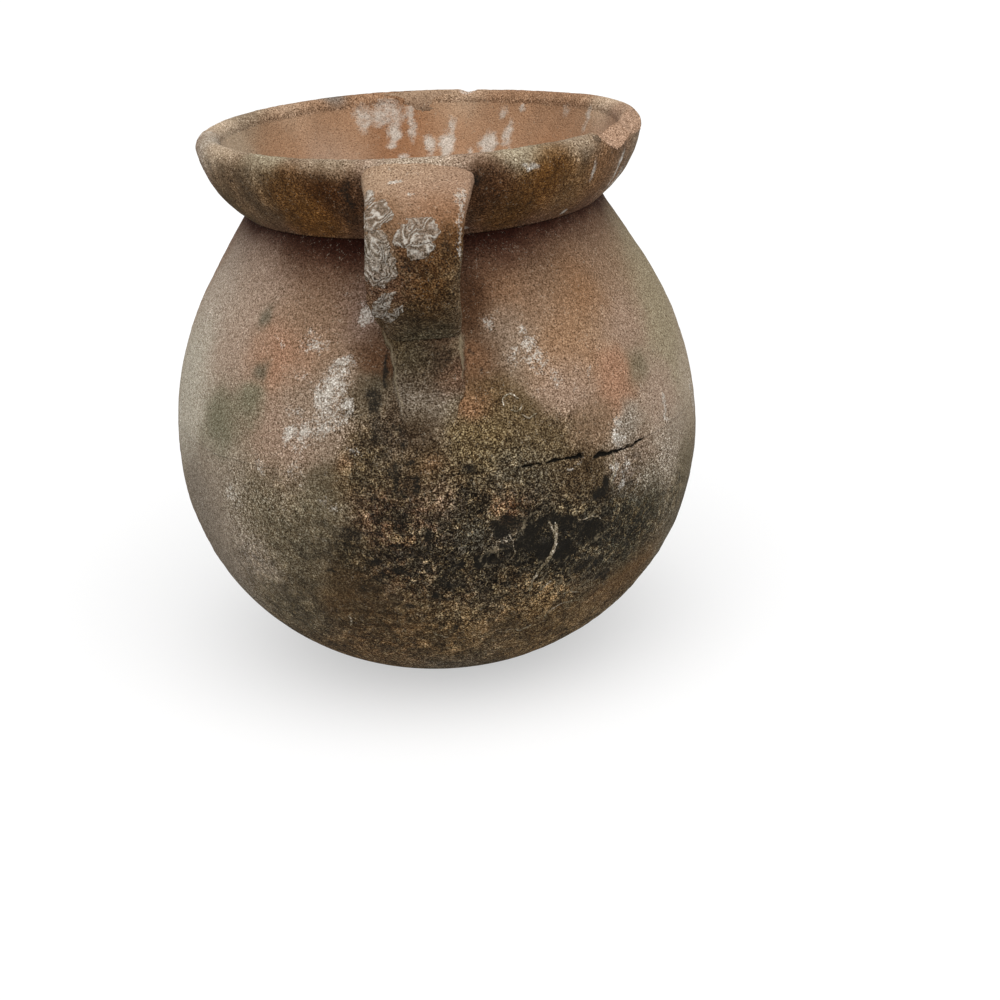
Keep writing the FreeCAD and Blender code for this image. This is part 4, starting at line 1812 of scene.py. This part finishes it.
def stain_group():
    """Breaks a painted mask into the fine grains of a real stain."""
    tree, board, given, result = new_group(
        "grainy_stain",
        (
            ("Mask", FLOAT, 0.0),
            ("Grain Scale", FLOAT, 1300.0),
            ("Patch Scale", FLOAT, 220.0),
            ("Reach", FLOAT, 0.55),
            ("Softness", FLOAT, 0.1),
        ),
        (("Mask", FLOAT),),
    )
    spot = board.place()
    grains = board.noise(spot, given["Grain Scale"], 3.0, 0.7)
    patches = board.noise(spot, given["Patch Scale"], 3.0, 0.6)
    both = board.math("ADD", board.math("MULTIPLY", grains, 0.6), board.math("MULTIPLY", patches, 0.4))
    level = board.math("MULTIPLY_ADD", given["Mask"], given["Reach"], both)
    low = board.math("SUBTRACT", STAIN_LEVEL, given["Softness"])
    high = board.math("ADD", STAIN_LEVEL, given["Softness"])
    cover = board.ease(level, low, high)
    present = board.ease(given["Mask"], 0.0, 0.12)
    board.feed(result["Mask"], board.math("MULTIPLY", cover, present))
    return tree


def mottle_group():
    """Burial weathering: dark blotches, ochre earth and fine pale root traces."""
    tree, board, given, result = new_group(
        "weather_mottle",
        (
            ("Colour", COLOUR, (0.5, 0.4, 0.3, 1.0)),
            ("Amount", FLOAT, 0.5),
            ("Dark", COLOUR, colour("soot")),
            ("Light", COLOUR, colour("dim earth")),
        ),
        (("Colour", COLOUR), ("Height", FLOAT)),
    )
    spot = board.place()
    amount = given["Amount"]
    blotches = board.noise(spot, 210.0, 5.0, 0.76, 0.6)
    earth = board.noise(spot, 360.0, 4.0, 0.72, 0.6)
    fine = board.noise(spot, 900.0, 4.0, 0.8)
    curl = board.noise(spot, 170.0, 3.0, 0.55, 1.1)
    hair = board.noise(spot, 115.0, 4.0, 0.62, 0.9)
    field = board.noise(spot, 55.0, 2.0, 0.5)
    shade = board.noise(spot, 330.0, 3.0, 0.62, 0.5)
    dark_level = board.math("MULTIPLY_ADD", amount, 0.12, blotches)
    dark_level = board.math("MULTIPLY_ADD", board.math("SUBTRACT", field, 0.5), 0.5, dark_level)
    specks = board.math("MULTIPLY", board.ease(fine, 0.545, 0.63), 0.7)
    dark = board.math("MAXIMUM", board.ease(dark_level, 0.545, 0.6), specks)
    dark = board.math("MULTIPLY", dark, amount)
    earth_level = board.math("MULTIPLY_ADD", amount, 0.08, earth)
    grains = board.math("MULTIPLY", board.ease(fine, 0.46, 0.38), 0.65)
    light = board.math("MAXIMUM", board.ease(earth_level, 0.55, 0.62), grains)
    light = board.math("MULTIPLY", light, amount)
    line = board.ease(board.math("ABSOLUTE", board.math("SUBTRACT", curl, 0.5)), 0.022, 0.004)
    line = board.math("MULTIPLY", line, board.ease(board.math("ADD", field, blotches), 0.95, 1.15))
    line = board.math("MULTIPLY", line, amount)
    split = board.ease(board.math("ABSOLUTE", board.math("SUBTRACT", hair, 0.5)), 0.008, 0.002)
    split = board.math("MULTIPLY", split, board.ease(board.math("ADD", field, earth), 1.05, 0.9))
    split = board.math("MULTIPLY", split, amount)
    lit = board.mix(board.math("MULTIPLY", light, 0.68), given["Colour"], given["Light"])
    stained = board.mix(board.math("MULTIPLY", dark, 0.88), lit, given["Dark"])
    traced = board.mix(board.math("MULTIPLY", line, 0.5), stained, colour("earth"))
    swing = board.math("MULTIPLY", board.math("SUBTRACT", shade, 0.5), board.math("MULTIPLY", amount, 4.2))
    shaded = board.mix(1.0, traced, board.math("EXPONENT", swing), "MULTIPLY")
    board.feed(result["Colour"], board.mix(board.math("MULTIPLY", split, 0.7), shaded, given["Dark"]))
    board.feed(result["Height"], board.math("ADD", board.math("SUBTRACT", light, dark), line))
    return tree


GRAIN = grain_group()
STAIN = stain_group()
MOTTLE = mottle_group()


def read_mask(board, name):
    """The painted mask of that name."""
    return board.add("ShaderNodeAttribute", attribute_name=name).outputs["Fac"]


# How the stains break into grains. Each clay has its own grains of lime.
SOOT_GRAINS = {"Grain_Scale": 1500.0, "Patch_Scale": 300.0, "Reach": 0.42, "Softness": 0.17}
RIM_GRAINS = {"Grain_Scale": 1400.0, "Patch_Scale": 260.0, "Reach": 0.34, "Softness": 0.12}
LIME_PATCHES = 240.0
TONE_POWERS = (0.9, 1.0, 1.12)  # red swings least with the grain, blue most


def clay(
    name,
    level=1.0,
    bump=0.0003,
    salt=0.5,
    pepper=0.5,
    lime_scale=1300.0,
    lime_reach=0.3,
    lime_soft=0.08,
):
    """A fired clay: painted ground, grain, weathering, soot, lime, crust and cracks."""
    material = bpy.data.materials.new(name)
    material.use_nodes = True
    tree = material.node_tree
    tree.nodes.clear()
    board = Board(tree)
    ground = board.add("ShaderNodeAttribute", attribute_name="ground").outputs["Color"]
    worn = read_mask(board, "worn")
    lime_mask = read_mask(board, "lime")
    soot_mask = read_mask(board, "soot")
    grain = board.group(
        GRAIN,
        Worn=board.math("MULTIPLY_ADD", lime_mask, 0.18, worn),
        Level=level,
        Salt=board.math("MULTIPLY", board.math("SUBTRACT", 1.0, soot_mask), salt),
        Pepper=pepper,
    )
    tone = board.add("ShaderNodeCombineColor")
    for socket, power in zip(tone.inputs, TONE_POWERS):
        board.feed(socket, board.math("POWER", grain.outputs["Tone"], power))
    mottle = board.group(MOTTLE, Colour=ground, Amount=read_mask(board, "mottle"))
    base = board.mix(1.0, mottle.outputs["Colour"], tone.outputs[0], "MULTIPLY")
    soot = board.group(STAIN, Mask=soot_mask, **SOOT_GRAINS)
    lime = board.group(
        STAIN,
        Mask=lime_mask,
        Grain_Scale=lime_scale,
        Patch_Scale=LIME_PATCHES,
        Reach=lime_reach,
        Softness=lime_soft,
    )
    crust_mask = board.ease(read_mask(board, "crust"), 0.35, 0.6)
    spot = board.place()
    jitter = board.math("SUBTRACT", board.noise(spot, 480.0, 4.0, 0.6), 0.5)
    phase = board.math("MULTIPLY_ADD", jitter, 1.3, read_mask(board, "fold"))
    wave = board.math("PINGPONG", phase, 0.5)
    sheen = board.noise(spot, 340.0, 3.0, 0.6)
    fold = board.math("MULTIPLY", board.ease(wave, 0.2, 0.46), board.ease(sheen, 0.4, 0.6, 0.25, 1.0))
    crease = board.ease(wave, 0.14, 0.0)
    # Pale rims: the raised rims of the scabs on the wall, and on the pads a painted highlight along their
    # raised rim.
    rim = board.group(STAIN, Mask=read_mask(board, "rim"), **RIM_GRAINS)

    dark = board.mix(board.math("MULTIPLY", soot.outputs[0], 0.95), base, colour("soot"))
    pale_rims_and_pad_highlight = board.mix(board.math("MULTIPLY", rim.outputs[0], 0.6), dark, colour("khaki"))
    lime_tone = board.mix(1.0, colour("lime"), tone.outputs[0], "MULTIPLY")
    lime_tone = board.mix(0.5, lime_tone, colour("lime"))
    limed = board.mix(board.math("MULTIPLY", lime.outputs[0], 0.72), pale_rims_and_pad_highlight, lime_tone)
    salted = board.mix(board.math("MULTIPLY", grain.outputs["Salt"], 0.6), limed, colour("grit"))
    crust_ground = board.mix(0.6, salted, board.mix(1.0, colour("crust"), tone.outputs[0], "MULTIPLY"))
    whitened = board.mix(board.math("MULTIPLY", fold, 0.82), crust_ground, colour("crust white"))
    crusted = board.mix(board.math("MULTIPLY", crease, 0.52), whitened, colour("peat"))
    covered = board.mix(crust_mask, salted, crusted)
    cracked = board.mix(board.ease(read_mask(board, "crack"), 0.2, 0.6), covered, colour("soot"))

    height = board.math("MULTIPLY_ADD", lime.outputs[0], 0.2, grain.outputs["Height"])
    height = board.math("MULTIPLY_ADD", mottle.outputs["Height"], 0.3, height)
    height = board.math("MULTIPLY_ADD", board.math("MULTIPLY", fold, crust_mask), 0.5, height)
    bumped = board.add("ShaderNodeBump")
    board.feed(bumped.inputs["Strength"], 1.0)
    board.feed(bumped.inputs["Distance"], bump)
    board.feed(bumped.inputs["Height"], height)

    shader = board.add("ShaderNodeBsdfPrincipled")
    board.feed(shader.inputs["Base Color"], cracked)
    matt = board.math("MULTIPLY_ADD", soot.outputs[0], -0.16, 0.86)
    board.feed(shader.inputs["Roughness"], board.math("MULTIPLY_ADD", grain.outputs["Height"], 0.1, matt))
    shader.inputs["Specular IOR Level"].default_value = 0.1
    board.feed(shader.inputs["Normal"], bumped.outputs[0])
    out = board.add("ShaderNodeOutputMaterial")
    board.feed(out.inputs["Surface"], shader.outputs[0])
    return material


# ---------------------------------------------------------------------------
# Root threads
# ---------------------------------------------------------------------------
# Thickness, then azimuth and height of the places that each thread passes
ROOTS = (
    (1.35, (24.0, 77.2), (24.2, 73.7), (24.5, 70.6), (23.7, 67.2), (22.5, 63.8), (21.8, 61.8)),
    (0.9, (22.5, 63.8), (21.5, 61.0), (20.3, 58.5), (19.4, 55.0), (18.8, 51.5)),
    (0.8, (22.6, 78.6), (23.3, 74.8), (24.5, 70.6)),
    (0.55, (13.4, 76.6), (14.6, 74.2), (15.2, 71.6), (15.4, 68.4)),
    (0.4, (29.4, 74.9), (31.6, 75.8), (33.9, 74.9), (35.4, 73.0)),
    (0.6, (12.8, 50.6), (14.2, 53.6), (17.5, 51.6), (21.6, 52.2), (24.3, 54.5)),
    (0.8, (24.6, 35.5), (25.2, 40.2), (28.6, 42.4), (34.9, 41.4)),
    (0.55, (15.4, 117.6), (15.3, 119.6), (16.9, 121.0), (18.9, 119.4)),
    (0.5, (19.3, 117.0), (18.2, 115.8), (16.6, 116.0)),
    (0.5, (18.8, 114.8), (20.3, 113.1), (22.2, 114.2)),
    (0.7, (-22.6, 44.7), (-22.6, 40.7), (-26.4, 34.4)),
    (0.7, (11.9, 33.1), (15.0, 35.3), (19.2, 33.7), (23.0, 36.2)),
    (0.7, (-3.3, 38.3), (1.3, 34.5), (7.3, 34.4)),
    (0.6, (26.0, 46.0), (29.6, 47.6), (33.0, 45.4)),
    (0.5, (38.9, 95.8), (39.0, 89.6), (37.4, 84.7)),
    (0.6, (150.0, 90.0), (155.0, 84.0), (153.0, 76.0), (159.0, 70.0)),
    (0.6, (-165.0, 62.0), (-160.0, 70.0), (-152.0, 66.0), (-149.0, 58.0)),
)
ROOT_SINK = 0.42  # of a thread's thickness
ROOT_DEPTH = 0.5  # below the smooth outline, where the worn wall lies
ROOT_STOPS = 14  # points of a path for each place it passes
ROOT_SIDES = 8
ROOT_SEED = 7.0


def on_wall(azimuth, height, lift):
    """Points a little off the body's outside."""
    run = BODY.distance(height)
    radius, tall = BODY.at(run)
    outward, upward = BODY.facing(run)
    turn = np.radians(azimuth)
    radius = radius + outward * lift
    return np.stack([np.sin(turn) * radius, -np.cos(turn) * radius, tall + upward * lift], 1)


def thread_curve():
    """One curve with a spline along the wall for each thread."""
    curve = bpy.data.curves.new("root_paths", "CURVE")
    curve.dimensions = "3D"
    for thickness, *stops in ROOTS:
        line, _ = through(stops, ROOT_STOPS * len(stops))
        lift = -ROOT_DEPTH - thickness * (ROOT_SINK - 0.5)
        points = on_wall(line[:, 0], line[:, 1], lift) * MM
        spline = curve.splines.new("POLY")
        spline.points.add(len(points) - 1)
        spline.points.foreach_set("co", np.column_stack([points, np.ones(len(points))]).ravel())
        spline.points.foreach_set("radius", np.full(len(points), thickness / 2))
    holder = bpy.data.objects.new("root_paths", curve)
    bpy.context.scene.collection.objects.link(holder)
    return holder


def thread_tree(material):
    """Turns the paths into wandering, uneven threads with tapered ends."""
    tree = bpy.data.node_groups.new("root_threads", "GeometryNodeTree")
    sockets = (
        ("Geometry", "NodeSocketGeometry", None),
        ("Step", FLOAT, 0.0005),
        ("Wander", FLOAT, 0.0016),
        ("Unevenness", FLOAT, 0.5),
        ("Seed", FLOAT, 4.0),
    )
    for label, kind, value in sockets:
        socket = tree.interface.new_socket(name=label, in_out="INPUT", socket_type=kind)
        if value is not None:
            socket.default_value = value
    tree.interface.new_socket(name="Geometry", in_out="OUTPUT", socket_type="NodeSocketGeometry")
    board = Board(tree)
    given = board.add("NodeGroupInput").outputs
    result = board.add("NodeGroupOutput").inputs

    even = board.add("GeometryNodeResampleCurve")
    even.mode = "LENGTH"
    board.feed(even.inputs["Curve"], given["Geometry"])
    board.feed(next(i for i in even.inputs if i.identifier == "Length"), given["Step"])

    noise = board.add("ShaderNodeTexNoise", noise_dimensions="4D")
    board.feed(noise.inputs["Vector"], board.add("GeometryNodeInputPosition").outputs[0])
    board.feed(noise.inputs["W"], given["Seed"])
    board.feed(noise.inputs["Scale"], 260.0)
    board.feed(noise.inputs["Detail"], 3.0)
    tangent = board.add("GeometryNodeInputTangent").outputs[0]
    position = board.add("GeometryNodeInputPosition").outputs[0]
    outward = board.vector("MULTIPLY", position, (1.0, 1.0, 0.0))
    sideways = board.vector("NORMALIZE", board.vector("CROSS_PRODUCT", tangent, outward))
    sway = board.math("MULTIPLY", board.math("SUBTRACT", noise.outputs["Fac"], 0.5), 2.0)
    shift = board.vector("SCALE", sideways, board.math("MULTIPLY", sway, given["Wander"]))
    moved = board.add("GeometryNodeSetPosition")
    board.feed(moved.inputs["Geometry"], even.outputs[0])
    board.feed(moved.inputs["Offset"], shift)

    along = board.add("GeometryNodeSplineParameter").outputs["Factor"]
    taper = board.ease(board.math("PINGPONG", along, 0.5), 0.0, 0.12, 0.15, 1.0)
    swell_noise = board.add("ShaderNodeTexNoise", noise_dimensions="4D")
    board.feed(swell_noise.inputs["W"], board.math("ADD", given["Seed"], 9.0))
    board.feed(swell_noise.inputs["Scale"], 900.0)
    swell = board.math("SUBTRACT", swell_noise.outputs["Fac"], 0.5)
    swell = board.math("MULTIPLY_ADD", board.math("MULTIPLY", swell, given["Unevenness"]), 3.0, 1.0)
    radius = board.math("MULTIPLY", board.add("GeometryNodeInputRadius").outputs[0], taper)
    radius = board.math("MULTIPLY", board.math("MULTIPLY", radius, swell), MM)
    sized = board.add("GeometryNodeSetCurveRadius")
    board.feed(sized.inputs["Curve"], moved.outputs[0])
    board.feed(sized.inputs["Radius"], radius)

    circle = board.add("GeometryNodeCurvePrimitiveCircle")
    board.feed(circle.inputs["Resolution"], ROOT_SIDES)
    board.feed(circle.inputs["Radius"], 1.0)
    tubes = board.add("GeometryNodeCurveToMesh")
    board.feed(tubes.inputs["Curve"], sized.outputs[0])
    board.feed(tubes.inputs["Profile Curve"], circle.outputs[0])
    board.feed(tubes.inputs["Fill Caps"], True)
    if "Scale" in tubes.inputs:
        board.feed(tubes.inputs["Scale"], board.add("GeometryNodeInputRadius").outputs[0])
    real = board.add("GeometryNodeRealizeInstances")
    board.feed(real.inputs[0], tubes.outputs[0])
    painted = board.add("GeometryNodeSetMaterial")
    board.feed(painted.inputs["Geometry"], real.outputs[0])
    painted.inputs["Material"].default_value = material
    board.feed(result["Geometry"], painted.outputs[0])
    return tree


def root_threads(material):
    """Pale threads that roots left on the wall while the pot lay buried."""
    holder = thread_curve()
    tree = thread_tree(material)
    modifier = holder.modifiers.new("threads", "NODES")
    modifier.node_group = tree
    for item in tree.interface.items_tree:
        if item.in_out == "INPUT" and item.name == "Seed":
            modifier[item.identifier] = ROOT_SEED
    shown = holder.evaluated_get(bpy.context.evaluated_depsgraph_get())
    mesh = bpy.data.meshes.new_from_object(shown)
    holder.modifiers.remove(modifier)
    bpy.data.objects.remove(holder)
    points = np.empty(len(mesh.vertices) * 3)
    mesh.vertices.foreach_get("co", points)
    points = points.reshape(-1, 3) / MM
    faces = [list(face.vertices) for face in mesh.polygons]
    pale, deep = (np.array(COLOURS[name], float) for name in ("pale khaki", "dull khaki"))
    share = smooth(rough(points, 3.0, 3, 95), -0.5, 0.7)[:, None]
    masks = {"ground": deep + share * (pale - deep), "worn": np.full(len(points), 0.25)}
    make_piece("root_threads", points, faces, masks, material, "bowl_clay")
    bpy.data.meshes.remove(mesh)


# ---------------------------------------------------------------------------
# The pot
# ---------------------------------------------------------------------------
bowl_clay = clay("bowl_clay", level=0.95, bump=0.0005)
shoulder_clay = clay("shoulder_clay", level=1.04, bump=0.0004)
collar_clay = clay(
    "collar_clay",
    bump=0.0004,
    salt=0.4,
    pepper=0.4,
    lime_scale=620.0,
    lime_reach=0.5,
    lime_soft=0.26,
)
handle_clay = clay("handle_clay", level=0.88, bump=0.0005)
pad_clay = clay("pad_clay", level=0.84, bump=0.0005)

turned_piece("bowl", bowl_rings(), False, body_masks, body_relief, bowl_clay, "bowl_clay", "base_bowl")
turned_piece(
    "shoulder",
    shoulder_rings(),
    True,
    body_masks,
    body_relief,
    shoulder_clay,
    "shoulder_clay",
    "shoulder_wall",
)
turned_piece(
    "collar",
    collar_rings(),
    True,
    collar_masks,
    collar_relief,
    collar_clay,
    "collar_clay",
    "flared_rim",
)
for side in ("front", "back"):
    strap(side, handle_clay)
    pad(side, pad_clay)
root_threads(clay("root_chalk", salt=0.2, pepper=0.2))


# ---------------------------------------------------------------------------
# Floor, light and camera
# ---------------------------------------------------------------------------
AMBIENT = 0.42  # strength of the sky where only the pot sees it
WHITE = (1, 1, 1, 1)
PAPER_SIZE = 8
PAPER_DROP = 0.0001
PAPER_GREY = (0.5, 0.5, 0.5, 1)
PAPER_GLOW = 0.52  # makes up what the light leaves short of white

# Angles in degrees, places in metres, lens and sensor in millimetres
CAMERA_PITCH = 21.045
CAMERA_YAW = 1.926
CAMERA_ROLL = -3.079
CAMERA_SWING = 1.6
CAMERA_SPOT = (0, -0.6287, 0.29493)
FOCAL_LENGTH = 64.8
SENSOR_WIDTH = 36
NEAR_CLIP = 0.01


def white_floor():
    """A pale floor that looks white and still takes the pot's shadow."""
    bpy.ops.mesh.primitive_plane_add(size=PAPER_SIZE, location=(0, 0, -PAPER_DROP))
    floor = bpy.context.object
    floor.name = "floor"
    material = bpy.data.materials.new("floor_paper")
    material.use_nodes = True
    tree = material.node_tree
    tree.nodes.clear()
    board = Board(tree)
    diffuse = board.add("ShaderNodeBsdfDiffuse")
    diffuse.inputs["Color"].default_value = PAPER_GREY
    glow = board.add("ShaderNodeEmission")
    glow.inputs["Color"].default_value = WHITE
    path = board.add("ShaderNodeLightPath")
    seen = board.math("MAXIMUM", path.outputs["Is Camera Ray"], path.outputs["Is Glossy Ray"])
    board.feed(glow.inputs["Strength"], board.math("MULTIPLY", seen, PAPER_GLOW))
    both = board.add("ShaderNodeAddShader")
    board.feed(both.inputs[0], diffuse.outputs[0])
    board.feed(both.inputs[1], glow.outputs[0])
    out = board.add("ShaderNodeOutputMaterial")
    board.feed(out.inputs["Surface"], both.outputs[0])
    floor.data.materials.append(material)


def studio_world():
    """A white sky, dimmed to AMBIENT for the light it gives the pot."""
    world = bpy.data.worlds.new("studio")
    bpy.context.scene.world = world
    world.use_nodes = True
    tree = world.node_tree
    tree.nodes.clear()
    board = Board(tree)
    path = board.add("ShaderNodeLightPath")
    seen = board.math("MAXIMUM", path.outputs["Is Camera Ray"], path.outputs["Is Glossy Ray"])
    seen = board.math("MAXIMUM", seen, path.outputs["Is Transmission Ray"])
    background = board.add("ShaderNodeBackground")
    background.inputs["Color"].default_value = WHITE
    board.feed(background.inputs["Strength"], board.math("MULTIPLY_ADD", seen, 1 - AMBIENT, AMBIENT))
    out = board.add("ShaderNodeOutputWorld")
    board.feed(out.inputs["Surface"], background.outputs[0])


def overhead_light(name, elevation, bearing, spread, strength):
    """A broad even light from above. bearing 0 is the front, in degrees."""
    light = bpy.data.lights.new(name, "SUN")
    light.angle = math.radians(spread)
    light.energy = strength
    lamp = bpy.data.objects.new(name, light)
    lift, turn = math.radians(elevation), math.radians(bearing)
    toward = Vector((math.sin(turn) * math.cos(lift), -math.cos(turn) * math.cos(lift), math.sin(lift)))
    lamp.rotation_euler = toward.to_track_quat("Z", "Y").to_euler()
    bpy.context.scene.collection.objects.link(lamp)


def camera():
    """A camera a little above the rim, turned slightly to one side."""
    angles = (CAMERA_PITCH, CAMERA_YAW, CAMERA_ROLL, CAMERA_SWING)
    pitch, yaw, roll, swing = (math.radians(angle) for angle in angles)
    ahead = Vector((math.sin(yaw) * math.cos(pitch), math.cos(yaw) * math.cos(pitch), -math.sin(pitch)))
    right = Vector((math.cos(yaw), -math.sin(yaw), 0))
    up = right.cross(ahead)
    turned_right = math.cos(roll) * right + math.sin(roll) * up
    turned_up = -math.sin(roll) * right + math.cos(roll) * up
    around = Matrix.Rotation(swing, 3, "Z")
    axes = [around @ turned_right, around @ turned_up, around @ -ahead]
    turn = Matrix(axes).transposed().to_4x4()
    lens = bpy.data.cameras.new("view")
    lens.lens = FOCAL_LENGTH
    lens.sensor_width = SENSOR_WIDTH
    lens.clip_start = NEAR_CLIP
    eye = bpy.data.objects.new("view", lens)
    eye.matrix_world = Matrix.Translation(around @ Vector(CAMERA_SPOT)) @ turn
    bpy.context.scene.collection.objects.link(eye)
    bpy.context.scene.camera = eye


white_floor()
studio_world()
overhead_light("sky_panel", elevation=58, bearing=8, spread=75, strength=2.5)
camera()
bpy.context.scene.view_settings.view_transform = "Standard"
